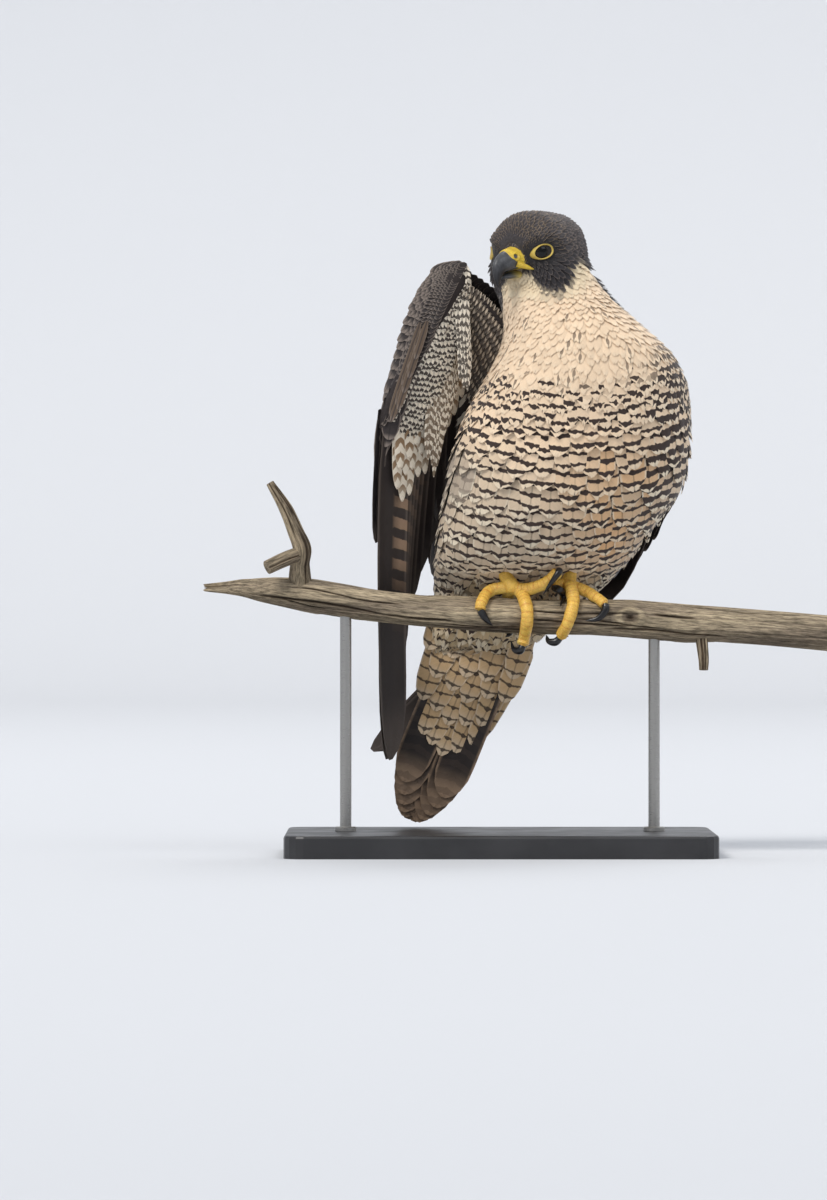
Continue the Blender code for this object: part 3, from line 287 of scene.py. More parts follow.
def head_distance(points):
    """How far points lie outside the head: across its forward axis and past its ends.

    A bell-shaped bulge stands out on each cheek, and a ridge over each eye.
    """
    local = in_head(points)
    half_width, top, bottom = (np.interp(local[..., 0], HEAD_FINE[0], HEAD_FINE[k]) for k in range(1, 4))
    tall = (top - bottom) / 2
    above = (local[..., 2] - (top + bottom) / 2) / tall
    aside = local[..., 1] / half_width / (1 - CHEEK_FULLNESS * np.clip(above, -1.2, 1.2))
    radius = np.hypot(local[..., 1], above * tall)
    reach = (np.abs(aside) ** HEAD_POWER + np.abs(above) ** HEAD_POWER) ** (1 / HEAD_POWER)
    level = radius - radius / np.maximum(reach, 1e-6)
    ends = np.maximum(HEAD_FINE[0, 0] - local[..., 0], local[..., 0] - HEAD_FINE[0, -1])
    mirrored = local * (1, 0, 1) + np.abs(local) * (0, 1, 0)
    cheek, spread, full = CHEEK_BULGE
    bulge = full * np.exp(-((mirrored - cheek) ** 2).sum(axis=-1) / spread ** 2)
    lore, spread, full = FAR_LORE
    bulge = bulge + full * np.exp(-((local - lore) ** 2).sum(axis=-1) / spread ** 2)
    front, rear, spread, full = BROW_RIDGE
    ridge = np.subtract(rear, front)
    share = np.clip((mirrored - front) @ ridge / ridge.dot(ridge), 0, 1)[..., None]
    brow = full * np.exp(-((mirrored - front - share * ridge) ** 2).sum(axis=-1) / spread ** 2)
    return np.maximum(level, ends) - bulge - brow


def leave(inside, start, way, near, far, rounds):
    """The last reach inside a form and the first outside it along way from start, by halving between two reaches."""
    for _ in range(rounds):
        half = (near + far) / 2
        within = inside(start + way * half[..., None])
        near, far = np.where(within, half, near), np.where(within, far, half)
    return near, far


SEAM_SOFTNESS = 3                # millimetres over which trunk and head blend


def body_distance(points):
    """Distance outside the trunk and head together, with a soft seam between them."""
    trunk = trunk_distance(points)
    head = head_distance(points)
    least = np.minimum(trunk, head)
    gap = np.abs(trunk - head)
    return least - SEAM_SOFTNESS * np.log1p(np.exp(-gap / SEAM_SOFTNESS))


def body_slope(points):
    """The direction in which the distance grows, by forward differences, and the distance made true by it."""
    step = 0.4
    here = body_distance(points)
    slope = np.stack([body_distance(points + step * axis) - here for axis in np.eye(3)], axis=-1) / step
    steepness = np.maximum(np.linalg.norm(slope, axis=-1), 0.2)
    return slope / steepness[..., None], here / steepness


def settle(points, clearance, rounds=3):
    """Points moved square to the body's surface until they stand off it by clearance."""
    for _ in range(rounds):
        outward, distance = body_slope(points)
        points = points + outward * np.clip(clearance - distance, -8, 8)[..., None]
    return points


def nearness_to_bill(points):
    """1 at the foot of the bill, falling to 0 at the back of the head and on the trunk."""
    local = in_head(points)
    return ease(-5, 30, local[..., 0]) * ease(-45, -20, local[..., 2])


def on_head_share(points):
    """1 on the head and 0 on the trunk, changing over the neck."""
    return ease(-9, 9, trunk_distance(points) - head_distance(points) + 4)


def coat_depth(points, deepest):
    """Depth of the coat: deepest on the trunk, less on the head, least round the bill."""
    head = on_head_share(points)
    return mix(deepest, mix(2.6, 1.3, nearness_to_bill(points)), head)


def lie_of_coat(points):
    """The way feathers point: down and away from the midline on the trunk, back from the bill on the head.

    Close to an eye they turn aside, so that none lies over the bare ring.
    """
    middle_x, _, half_x, _ = trunk_section(points[..., 2])
    spread = np.clip((points[..., 0] - middle_x - 8) / half_x, -1, 1)
    down = vectors(0.42 * spread, np.zeros_like(spread), -np.ones_like(spread))
    local = in_head(points)
    below = ease(6, -24, local[..., 2])
    back = -FORWARD + np.array((0, 0, -0.9)) * below[..., None] + np.array((0, 0, -0.25))
    share = on_head_share(points)[..., None]
    way = unit(down * (1 - share) + unit(back) * share)
    for side in (1, -1):
        middle, _, rear, rise = ring_frame(side)
        along, above = (points - middle) @ rear, (points - middle) @ rise
        away = unit(along[..., None] * rear / LID_HALF[0] ** 2 + above[..., None] * rise / LID_HALF[1] ** 2)
        toward = np.minimum((way * away).sum(axis=-1), 0.15) - 0.15
        near = ease(2, 1.1, eye_ring_distance(points, side))
        way = unit(way - away * (near * toward)[..., None])
    return way


# ---- meshes from arrays

def colour_of(values, shape):
    """Colours spread over an array of points, with full opacity."""
    full = np.ones(shape + (4,))
    full[..., :3] = values
    return full


def closed_rings(name, rings, attributes=None, home=None, patch=0.003, sharp_degrees=50):
    """A mesh of many closed tubes from an array of rings, with both ends of each capped.

    rings is (tubes, rows, ring points, 3) in millimetres. Row follows row down each tube, and the ring
    runs round it so that the faces point outwards. home is each tube's place on the unwrap of what it
    grows from: the bake map gives each tube a small patch there, its ring unrolled across it.
    """
    tubes, rows, around, _ = rings.shape
    index = np.arange(tubes * rows * around).reshape(tubes, rows, around)
    right = np.roll(index, -1, axis=2)
    quads = vectors(index[:, :-1], right[:, :-1], right[:, 1:], index[:, 1:]).reshape(-1, 4)
    first = index[:, 0, ::-1].reshape(-1, around)
    last = index[:, -1].reshape(-1, around)
    mesh = bpy.data.meshes.new(name)
    mesh.vertices.add(tubes * rows * around)
    mesh.vertices.foreach_set("co", (rings * MM).astype(np.float32).ravel())
    corners = np.concatenate([quads.ravel(), first.ravel(), last.ravel()])
    totals = np.concatenate([np.full(len(quads), 4), np.full(2 * tubes, around)])
    starts = np.concatenate([[0], np.cumsum(totals)[:-1]])
    mesh.loops.add(len(corners))
    mesh.loops.foreach_set("vertex_index", corners.astype(np.int32))
    mesh.polygons.add(len(totals))
    mesh.polygons.foreach_set("loop_start", starts.astype(np.int32))
    mesh.update(calc_edges=True)
    if home is not None:
        across = np.arange(around + 1) / around - 0.5
        along = np.linspace(-0.5, 0.5, rows)
        u, v = np.meshgrid(across, along)
        cell = vectors(u, v)
        square = np.stack([cell[:-1, :-1], cell[:-1, 1:], cell[1:, 1:], cell[1:, :-1]], axis=2).reshape(-1, 2)
        fan = vectors(across[:-1] * 0.8, 0.08 * np.sin(np.pi * np.arange(around) / around))
        parts = []
        home = np.asarray(home).reshape(tubes, 1, 2)
        size = np.broadcast_to(np.asarray(patch, dtype=float), (2,))
        parts.append((home + square[None] * size).reshape(-1, 2))
        parts.append((home + (fan[::-1] + (0, -0.62))[None] * size).reshape(-1, 2))
        parts.append((home + (fan + (0, 0.54))[None] * size).reshape(-1, 2))
        layer = mesh.uv_layers.new(name="OFBake")
        layer.uv.foreach_set("vector", np.concatenate(parts).astype(np.float32).ravel())
    for label, values in (attributes or {}).items():
        add_attribute(mesh, label, values, (tubes, rows, around))
    mesh.shade_smooth()
    mesh.set_sharp_from_angle(angle=math.radians(sharp_degrees))
    mesh.validate()
    return mesh


def add_attribute(mesh, label, values, shape):
    """Stores a colour or a three-part value at every point."""
    values = np.asarray(values, dtype=float)
    if label in ("ground", "mark", "fringe"):
        full = colour_of(np.broadcast_to(values, shape + (3,)), shape)
        layer = mesh.attributes.new(label, "FLOAT_COLOR", "POINT")
        layer.data.foreach_set("color", full.astype(np.float32).ravel())
    else:
        full = np.broadcast_to(values, shape + (3,))
        layer = mesh.attributes.new(label, "FLOAT_VECTOR", "POINT")
        layer.data.foreach_set("vector", full.astype(np.float32).ravel())


def mesh_from_grids(name, grids, attributes=None, sharp_degrees=60, close_rows=False, cap=True):
    """One mesh of grids (rows, around, 3), each closed round and capped by a fan at each end.

    With close_rows the rows run round in a loop instead, as on a ring.
    """
    vertices, faces, values = [], [], {label: [] for label in attributes or {}}
    start = 0
    for order, points in enumerate(grids):
        rows, around, _ = points.shape
        index = start + np.arange(rows * around).reshape(rows, around)
        right = np.roll(index, -1, axis=1)
        below = np.roll(index, -1, axis=0) if close_rows else index[1:]
        above, above_right = (index, right) if close_rows else (index[:-1], right[:-1])
        quads = vectors(above, above_right, np.roll(below, -1, axis=1), below).reshape(-1, 4)
        faces += quads.tolist()
        vertices.append(points.reshape(-1, 3))
        start += rows * around
        for label in values:
            values[label].append(np.broadcast_to(attributes[label][order], points.shape).reshape(-1, 3))
        if cap and not close_rows:
            vertices.append(np.vstack([points[0].mean(axis=0), points[-1].mean(axis=0)]))
            faces += [(start, b, a) for a, b in zip(index[0].tolist(), right[0].tolist())]
            faces += [(start + 1, a, b) for a, b in zip(index[-1].tolist(), right[-1].tolist())]
            start += 2
            for label in values:
                grid = values[label][-1].reshape(points.shape)
                values[label].append(np.vstack([grid[0].mean(axis=0), grid[-1].mean(axis=0)]))
    mesh = bpy.data.meshes.new(name)
    mesh.from_pydata((np.vstack(vertices) * MM).tolist(), [], faces)
    for label, rows_of in values.items():
        add_attribute(mesh, label, np.vstack(rows_of), (start,))
    if cap:
        shape = bmesh.new()
        shape.from_mesh(mesh)
        bmesh.ops.recalc_face_normals(shape, faces=shape.faces)
        shape.to_mesh(mesh)
        shape.free()
    mesh.shade_smooth()
    mesh.set_sharp_from_angle(angle=math.radians(sharp_degrees))
    return mesh


def path_frames(path):
    """Two directions square to a path at each of its points, carried along without twist."""
    tangent = unit(np.gradient(path, axis=0))
    guide = np.array((0, 1, 0)) if abs(tangent[0, 1]) < 0.9 else np.array((1, 0, 0))
    firsts = []
    for direction in tangent:
        guide = unit(guide - direction * guide.dot(direction))
        firsts.append(guide)
    firsts = np.array(firsts)
    return tangent, firsts, np.cross(tangent, firsts)


def tube_points(path, radii, around, swell=None, flat=1):
    """Rings round a path: radius along the path, times swell(along, angle); flat squeezes one way."""
    path = np.asarray(path, dtype=float)
    _, first, second = path_frames(path)
    angle = turns_of(around)
    along = np.linspace(0, 1, len(path))
    size = np.asarray(radii, dtype=float)[:, None] * np.ones(around)
    if swell is not None:
        size = size * swell(along[:, None], angle[None, :])
    return (path[:, None] + first[:, None] * (size * np.cos(angle))[..., None] + second[:, None] *
        (size * flat * np.sin(angle))[..., None])


def place_piece(name, mesh, material, replaced=()):
    """Puts a finished mesh in the scene, gives it its material and ties it to the model's body."""
    piece = bpy.data.objects.new(name, mesh)
    bpy.context.scene.collection.objects.link(piece)
    mesh.materials.append(material)
    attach(piece, BODY)
    if replaced:
        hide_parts(*replaced)


def put_grids(name, grids, material, slot, replaced=(), **ways):
    """Places one mesh of grids as a piece."""
    place_piece(name, mesh_from_grids(name, grids, **ways), material, replaced)


# ---- feathers

SMALL_COLUMNS = (-1, 0, 1)
CONTOUR_COLUMNS = (-1, -0.68, -0.34, 0, 0.34, 0.68, 1)
FLIGHT_COLUMNS = (-1, -0.6, -0.22, 0, 0.22, 0.6, 1)
SMALL_STATIONS = np.array((0, 0.34, 0.66, 0.9, 1))
CONTOUR_STATIONS = np.array((0, 0.2, 0.42, 0.62, 0.78, 0.9, 0.97, 1))


def vane_outline(stations, full_from, tip_from, tip_width):
    """Half width along a feather, as a share of its widest: it widens to full_from and rounds off past tip_from."""
    rise = 0.3 + 0.7 * ease(-0.1, full_from, stations)
    over = np.clip((stations - tip_from) / (1 - tip_from), 0, 1)
    return rise * np.maximum(np.sqrt(1 - over ** 2), tip_width)


def vane_rings(line, normal, half, columns, thick, camber=0.1, skew=0, roll=0, stretch=None, shaft=0, solid=False):
    """Rings of many feathers: columns of points across each, curved down to its edges, and its underside.

    line and normal are (feathers, rows, 3), half is the half width at each row; skew moves the shaft
    towards the leading edge, roll tips one edge up, and shaft raises a ridge along the middle.
    """
    columns = np.asarray(columns)
    count, rows, _ = line.shape
    tangent = unit(np.gradient(line, axis=1))
    side = unit(np.cross(tangent, normal))
    face = np.cross(side, tangent)
    turn = np.broadcast_to(np.asarray(roll, dtype=float).reshape(-1, 1, 1), (count, rows, 1))
    side, face = side * np.cos(turn) + face * np.sin(turn), face * np.cos(turn) - side * np.sin(turn)
    camber = np.asarray(camber, dtype=float).reshape(-1, 1, 1)
    thick = np.asarray(thick, dtype=float).reshape(-1, 1, 1) * np.ones((count, rows, 1))
    reach = half[:, :, None] * (columns + skew)
    fall = camber * half[:, :, None] * columns ** 2
    ridge = shaft * np.exp(-(columns / 0.16) ** 2) * np.ones((count, rows, 1))
    forward = np.zeros_like(reach) if stretch is None else stretch

    def lay(reach, height, forward):
        """Points at a reach aside, a height off the face and a shift along the feather."""
        return (line[:, :, None] + side[:, :, None] * reach[..., None] + face[:, :, None] * height[..., None] +
            tangent[:, :, None] * forward[..., None])

    top = lay(reach, ridge - fall, forward)
    if solid:
        under = lay(reach, -ridge - fall - thick, forward)[:, :, ::-1]
    else:
        under = lay(half[:, :, None] * skew, -thick, forward.mean(axis=2, keepdims=True))
    return np.concatenate([top, under], axis=2)


def vane_values(stations, columns, half, length, solid=False):
    """Where each ring point lies on its feather: share across and along, and both in millimetres."""
    columns = np.asarray(columns)
    across = np.concatenate([columns, columns[::-1]]) if solid else np.concatenate([columns, [0]])
    count, rows = half.shape
    share_across = np.broadcast_to(across, (count, rows, len(across)))
    share_along = np.broadcast_to(stations[None, :, None], share_across.shape)
    length = np.asarray(length, dtype=float).reshape(-1, 1, 1)
    return share_across, share_along, share_across * half[:, :, None], (1 - share_along) * length


def feather_attributes(stations, columns, half, length, marks, chance, solid=False):
    """The values that the feather material reads, from a feather's own places and its markings.

    marks holds arrays of one row a feather, or whole arrays: ground, mark and fringe colours, bars,
    duty, slant, pitch, shaft, spot and edge.
    """
    across, along, across_mm, from_tip = vane_values(stations, columns, half, length, solid)
    shape = across.shape

    def full(value):
        """One value a feather, spread over its ring points."""
        value = np.asarray(value, dtype=float)
        if value.ndim == 1:
            value = value.reshape(-1, 1, 1)
        return np.broadcast_to(value, shape)

    def full_colour(value):
        """One colour a feather, spread over its ring points."""
        value = np.asarray(value, dtype=float)
        if value.ndim == 2:
            value = value.reshape(-1, 1, 1, 3)
        return np.broadcast_to(value, shape + (3,))

    bare = np.cos(math.pi * full(marks["duty"]))
    values = {"vane": vectors(across, along, full(chance)), "vane_mm": vectors(across_mm, from_tip,
        full(marks["pitch"])), "pattern": vectors(full(marks["bars"]), bare, full(marks["slant"])),
        "detail": np.stack([full(marks[label]) for label in ("shaft", "spot", "edge")], axis=-1)}
    return {**values, **{label: full_colour(marks[label]) for label in ("ground", "mark", "fringe")}}


SKIN_FOOT, SKIN_TALL = 100, 380  # height where the unwrap of the skin starts, and how tall it is


def unwrap_trunk(points):
    """A place on the unwrap of the skin: angle round the trunk, and height, both from 0 to 1."""
    middle_x, middle_y, _, _ = trunk_section(points[..., 2])
    angle = np.arctan2(points[..., 1] - middle_y, points[..., 0] - middle_x)
    height = (points[..., 2] - SKIN_FOOT) / SKIN_TALL
    return vectors(0.02 + 0.96 * (angle / (2 * math.pi) + 0.5), 0.02 + 0.96 * height)


def unwrap_head(points):
    """A place on the unwrap of the head: a disc round the nape, with the bill at its rim."""
    local = unit(in_head(points))
    angle = np.arctan2(local[..., 2], local[..., 1])
    radius = np.arccos(np.clip(-local[..., 0], -1, 1)) / math.pi * 0.47
    return vectors(0.5 + radius * np.cos(angle), 0.5 + radius * np.sin(angle))


# ---- markings of the body

BACK_START = 24                  # how far behind the trunk's middle the dark back begins
# heights between which one kind of marking gives way to the next
HOOD_FOOT = (382, 390)
THROAT_FOOT = (330, 400)
BELLY_TOP = (318, 262)
THIGH_TOP = (214, 192)
BARS_TOP = {"right": (352, 334), "middle": (350, 326), "left": (362, 336), "side": (386, 368)}


def hood_share(points):
    """1 on the dark hood, which takes in crown, nape, cheeks and moustache, and 0 on the throat and ear patch."""
    local = in_head(points)
    radius = np.linalg.norm(local, axis=-1)
    azimuth = np.degrees(np.arctan2(np.abs(local[..., 1]), local[..., 0]))
    elevation = np.degrees(np.arcsin(np.clip(local[..., 2] / np.maximum(radius, 1e-6), -1, 1)))
    edge = np.interp(azimuth, *np.array(HOOD_EDGE).T) - RIGHT_HOOD_LOWER * ease(0, -12, local[..., 1])
    return ease(-3.5, 3.5, elevation - edge)


RIGHT_HOOD_LOWER = 12            # degrees by which the fluffed right cheek carries the hood's edge lower
# lower edge of the hood: (degrees round from the bill, degrees above the head's level)
HOOD_EDGE = ((0, -8), (22, -12), (26, -21), (35, -28), (50, -32), (60, -30),
             (66, -23), (70, -16), (73, -9), (80, -6), (92, -9), (102, -16),
             (109, -32), (118, -60), (180, -80))


def body_markings(points, chance, tints):
    """Ground colour and marks of the coat at each root, by where it grows.

    The hood is dark. The throat and upper breast are plain cream with sparse streaks, the shoulder is
    spotted, the belly barred, the back slate with pale edges, and a grey downy patch shows at the flank.
    """
    x, y, z = points[..., 0], points[..., 1], points[..., 2]
    middle_y = trunk_section(z)[1]
    start = mix(BACK_START, 4, ease(330, 385, z)) + 5 * np.sin(z / 11) + 22 * (chance - 0.5)
    behind = ease(start - 4, start + 4, y - middle_y)
    head = on_head_share(points)
    hood = hood_share(points) * ease(*HOOD_FOOT, z + 3 * (chance - 0.5))
    nape = behind * (1 - head)
    dark = np.maximum(hood, nape)

    low = ease(*BELLY_TOP, z + 10 * np.sin(x / 21))
    rust = ease(20, 76, x) * ease(134, 90, x) * ease(186, 236, z) * ease(330, 272, z)
    rust = rust * mix(0.4, 1.2, chance)
    thigh = ease(*THIGH_TOP, z)
    ground = mix(tints["breast"], tints["belly"], low[..., None])
    ground = mix(ground, tints["rust"], 0.75 * rust[..., None])
    ground = mix(ground, tints["thigh"], 0.7 * thigh[..., None])
    throat = head * ease(*THROAT_FOOT, z)
    ground = mix(ground, tints["throat"], 0.8 * throat[..., None])
    downy = ease(21, 4, np.hypot(x + 30, 0.8 * (z - 288))) * ease(0, -20, y - 40) * mix(0.5, 1, chance)
    ground = mix(ground, tints["down"], 0.8 * downy[..., None])

    patchy = 14 * (chance - 0.5)
    bars_right = ease(*BARS_TOP["right"], z + patchy) * ease(56, 34, x + patchy)
    bars_middle = ease(*BARS_TOP["middle"], z + patchy)
    bars_left = ease(*BARS_TOP["left"], z + patchy) * ease(72, 94, x + patchy)
    bars = np.maximum(np.maximum(bars_right, bars_middle), bars_left)
    bars = ease(0.35, 0.65, bars) * (1 - 0.75 * downy) * (1 - 0.45 * thigh * ease(0.5, 1, chance))
    bars_side = ease(98, 114, x + patchy) * ease(*BARS_TOP["side"], z + patchy) * ease(232, 262, z)
    bars = np.maximum(bars, bars_side)
    spot = ease(376, 360, z) * (1 - bars_middle) * ease(92, 108, x)
    sparse = (chance > 0.91) * ease(398, 384, z) * (1 - bars) * (1 - head)
    dark_ground = mix(tints["back"], tints["hood"], head[..., None])
    cheek = head * ease(12, -10, in_head(points)[..., 2])
    dark_ground = mix(dark_ground, tints["cheek"], cheek[..., None])
    ground = mix(ground, dark_ground, dark[..., None])
    pale = 1 - dark
    brow = (nearness_to_bill(points) * ease(-2, 8, in_head(points)[..., 2]))[..., None]
    fringe_dark = mix(tints["back_edge"], mix(tints["hood_edge"], tints["forehead"], brow), head[..., None])
    beside_eye = np.minimum(eye_ring_distance(points, 1), eye_ring_distance(points, -1))
    ground = ground * (1 - 0.55 * head * ease(1.9, 1.2, beside_eye))[..., None]
    return {
        "ground": ground * (0.93 + 0.14 * chance[..., None]),
        "mark": mix(tints["bar"], tints["hood_mark"], dark[..., None]),
        "fringe": mix(tints["pale_edge"], fringe_dark, dark[..., None]),
        "bars": np.maximum(bars * pale, 0.5 * nape),
        "duty": mix(0.31, 0.29, low) - 0.08 * thigh + 0.12 * (chance - 0.5) + 0.2 * bars_side * pale,
        "slant": -0.04 - 0.14 * chance,
        "pitch": mix(7.6, 7.2, low) + 1.4 * chance,
        "shaft": (0.6 * low * chance * (1 - 0.6 * thigh) + 0.5 * sparse) * pale + 0.6 * head * dark,
        "spot": np.maximum(spot, 0.7 * sparse) * pale,
        "edge": mix(mix(0.2, 0.6, low), 0.55, dark) * (0.6 + 0.8 * chance) + 0.3 * bars_side * pale,
        "dark": dark,
    }


# ---- materials

def add(tree, kind, inputs=(), out=0, **settings):
    """Adds a node with its settings and gives one output; inputs, values or sockets, come in order or by key."""
    node = tree.nodes.new("ShaderNode" + kind)
    for label, value in settings.items():
        setattr(node, label, value)
    for key, value in inputs.items() if isinstance(inputs, dict) else enumerate(inputs):
        if isinstance(value, bpy.types.NodeSocket):
            tree.links.new(value, node.inputs[key])
        else:
            node.inputs[key].default_value = value
    return node.outputs[out]


def new_material(name, **shader_values):
    """An empty material with one Principled shader, and that shader."""
    material = bpy.data.materials.new(name)
    material.use_nodes = True
    shader = material.node_tree.nodes["Principled BSDF"]
    for label, value in shader_values.items():
        shader.inputs[label.replace("_", " ")].default_value = value
    return material, material.node_tree, shader


def finish(tree, shader, colour, tones, relief, strength, depth):
    """Joins a colour, multiplied by a tone for red, green and blue, and a relief in metres to the shader."""
    tint = add(tree, "CombineColor", tones)
    final = add(tree, "Mix", {0: 1, 6: colour, 7: tint}, 2, data_type="RGBA", blend_type="MULTIPLY")
    tree.links.new(final, shader.inputs["Base Color"])
    bump = add(tree, "Bump", {"Height": relief, "Strength": strength, "Distance": depth})
    tree.links.new(bump, shader.inputs["Normal"])


def feather_material(name, roughness, streak, sheen=0):
    """Keratin vanes: barbs run obliquely from the shaft, so tone and gloss streak along them.

    Bars, shaft line, spot and pale edge are drawn in the feather's own millimetres. Real barbs are
    about 0.3 mm apart; they are drawn three times coarser so that they show.
    """
    material, tree, shader = new_material(name, Roughness=roughness, Specular_IOR_Level=0.35, Sheen_Weight=sheen,
        Sheen_Roughness=0.6)
    vane, place, pattern, detail = (add(tree, "SeparateXYZ", (add(tree, "Attribute", out="Vector",
        attribute_name=label),)).node.outputs for label in ("vane", "vane_mm", "pattern", "detail"))
    ground, mark, fringe = (add(tree, "Attribute", out="Color", attribute_name=label) for label in
        ("ground", "mark", "fringe"))
    soft = {"interpolation_type": "SMOOTHSTEP"}
    times, plus, minus = {"operation": "MULTIPLY"}, {"operation": "ADD"}, {"operation": "SUBTRACT"}
    either, whole, share_of = {"operation": "MAXIMUM"}, {"operation": "ABSOLUTE"}, {"operation": "DIVIDE"}

    aside = add(tree, "Math", (place[0],), **whole)
    barb = add(tree, "Math", (place[1], add(tree, "Math", (aside, -1.1), **times)), **minus)
    seed = add(tree, "Math", (vane[2], 91), **times)
    along_barb = add(tree, "CombineXYZ", (barb, add(tree, "Math", (place[0], 0.16), **times), seed))
    streaks = add(tree, "TexNoise", {"Vector": along_barb, "Scale": 1.15, "Detail": 3, "Roughness": 0.65})
    ragged = add(tree, "TexNoise", {"Vector": add(tree, "CombineXYZ", (place[0], place[1], seed)), "Scale": 0.32,
        "Detail": 2})

    wobble = add(tree, "Math", (add(tree, "Math", (ragged, 0.5), **minus), 2.6), **times)
    slanted = add(tree, "Math", (aside, pattern[2], place[1]), operation="MULTIPLY_ADD")
    turns = add(tree, "Math", (add(tree, "Math", (slanted, wobble), **plus), place[2]), **share_of)
    wave = add(tree, "Math", (add(tree, "Math", (turns, 2 * math.pi), **times),), operation="COSINE")
    knot = add(tree, "MapRange", (aside, 1.9, 0.2, 0, 0.4), **soft)
    height = add(tree, "Math", (add(tree, "Math", (knot, wave), **minus), pattern[1]), **minus)
    bars = add(tree, "Math", (add(tree, "MapRange", (height, -0.12, 0.22), **soft), pattern[0]), **times)
    shaft = add(tree, "Math", (add(tree, "MapRange", (aside, 0.75, 0.3), **soft), detail[0]), **times)
    drop_along = add(tree, "Math", (add(tree, "Math", (place[1], 4.2), **minus), 2.8), **share_of)
    drop_across = add(tree, "Math", (aside, 1.2), **share_of)
    drop_size = add(tree, "Math", [add(tree, "Math", (way, way), **times) for way in (drop_along, drop_across)],
        **plus)
    spot = add(tree, "Math", (add(tree, "MapRange", (drop_size, 1.25, 0.7), **soft), detail[1]), **times)
    marked = add(tree, "Math", (add(tree, "Math", (bars, shaft), **either), spot), **either)

    rim = add(tree, "Math", (add(tree, "Math", (vane[0],), **whole), vane[1]), **either)
    rim = add(tree, "Math", (add(tree, "MapRange", (rim, 0.8, 0.97), **soft), detail[2]), **times)
    tone = add(tree, "Math", (streaks, streak, 1 - 0.5 * streak), operation="MULTIPLY_ADD")
    tinted = add(tree, "Mix", {0: rim, 6: ground, 7: fringe}, 2, data_type="RGBA")
    coloured = add(tree, "Mix", {0: marked, 6: tinted, 7: mark}, 2, data_type="RGBA")
    finish(tree, shader, coloured, (tone, tone, tone), streaks, 0.35, 0.0004)
    return material


# ---- settings

def colour_setting(name, description, hex_colour):
    """A colour property; its default is the hex colour in linear light."""
    return FloatVectorProperty(name=name, description=description, subtype="COLOR", size=3, min=0, max=1,
        default=tuple(linear(hex_colour)))


def length_setting(name, description, millimetres):
    """A length property; its default is given in millimetres and held in metres."""
    return FloatProperty(name=name, description=description, default=millimetres * MM, min=0, unit="LENGTH",
        subtype="DISTANCE", precision=4)


class FalconPlumage(bpy.types.PropertyGroup):
    """Sizes and colours of the coat."""
    coat_depth: length_setting("Coat depth", "How deep the skin lies below the coat on the trunk", 6)
    thigh_row: length_setting("Thigh rows", "Distance between rows of feathers over the feet", 9.5)
    trunk_row: length_setting("Trunk rows", "Distance between rows of feathers on the belly", 13)
    breast_row: length_setting("Breast rows", "Distance between rows of feathers on the breast", 6.6)
    neck_row: length_setting("Neck rows", "Distance between rows of feathers on the neck", 3.7)
    head_row: length_setting("Head rows", "Distance between rows of feathers on the crown", 3.9)
    face_row: length_setting("Face rows", "Distance between rows of feathers round the bill", 1.9)
    hood: colour_setting("Hood", "Crown and nape", "#453F40")
    hood_edge: colour_setting("Hood edges", "Pale edges of crown feathers", "#85776F")
    forehead: colour_setting("Forehead edges", "Buff edges of the feathers over the bill", "#B9A07F")
    hood_mark: colour_setting("Hood marks", "Darkest part of the hood's feathers", "#1F1C1F")
    cheek: colour_setting("Cheek", "Cheek and moustache", "#2B282B")
    throat: colour_setting("Throat", "Throat below the bill", "#D9C9A8")
    breast: colour_setting("Breast", "Upper breast", "#EBD0B0")
    belly: colour_setting("Belly", "Ground of the barred belly", "#C9B59B")
    rust: colour_setting("Buff patch", "Warm patch on the left of the belly", "#D6A672")
    thigh: colour_setting("Thighs", "Loose feathers over the feet", "#CDB284")
    down: colour_setting("Down", "Grey down at the flank", "#8F857B")
    bar: colour_setting("Bars", "Dark bars, streaks and spots", "#35261F")
    pale_edge: colour_setting("Pale edges", "Edges of breast and belly feathers", "#E8DCC4")
    back: colour_setting("Back", "Mantle and rump", "#4C4A50")
    back_edge: colour_setting("Back edges", "Pale edges of back feathers", "#8D8880")


class FalconWings(bpy.types.PropertyGroup):
    """Colours of wings and tail."""
    flight: colour_setting("Flight feathers", "Outer side of primaries and secondaries", "#332C2A")
    flight_inner: colour_setting("Inner vanes", "Inner side of primaries and secondaries", "#3A322F")
    flight_bar: colour_setting("Flight bars", "Bars on the inner vanes of primaries", "#A0846C")
    covert: colour_setting("Upper coverts", "Upper side of the wing", "#2D2625")
    covert_edge: colour_setting("Covert edges", "Pale edges of upper coverts", "#8C7F75")
    under_pale: colour_setting("Underwing", "Pale ground of the underwing coverts", "#E9DECB")
    under_dark: colour_setting("Underwing bars", "Bars of the underwing coverts", "#2A201C")
    under_brown: colour_setting("Long underwing coverts", "Brown centres of the long coverts", "#8E7458")
    tail: colour_setting("Tail", "Ground of the tail feathers", "#241D1B")
    tail_bar: colour_setting("Tail bars", "Pale bars of the tail feathers", "#43372F")
    tail_tip: colour_setting("Tail tips", "Pale ends of the tail feathers", "#C9A98A")
    upper_tail: colour_setting("Uppertail coverts", "Slate coverts above the tail", "#55565E")
    undertail: colour_setting("Undertail coverts", "Coverts below the tail", "#C4A57C")


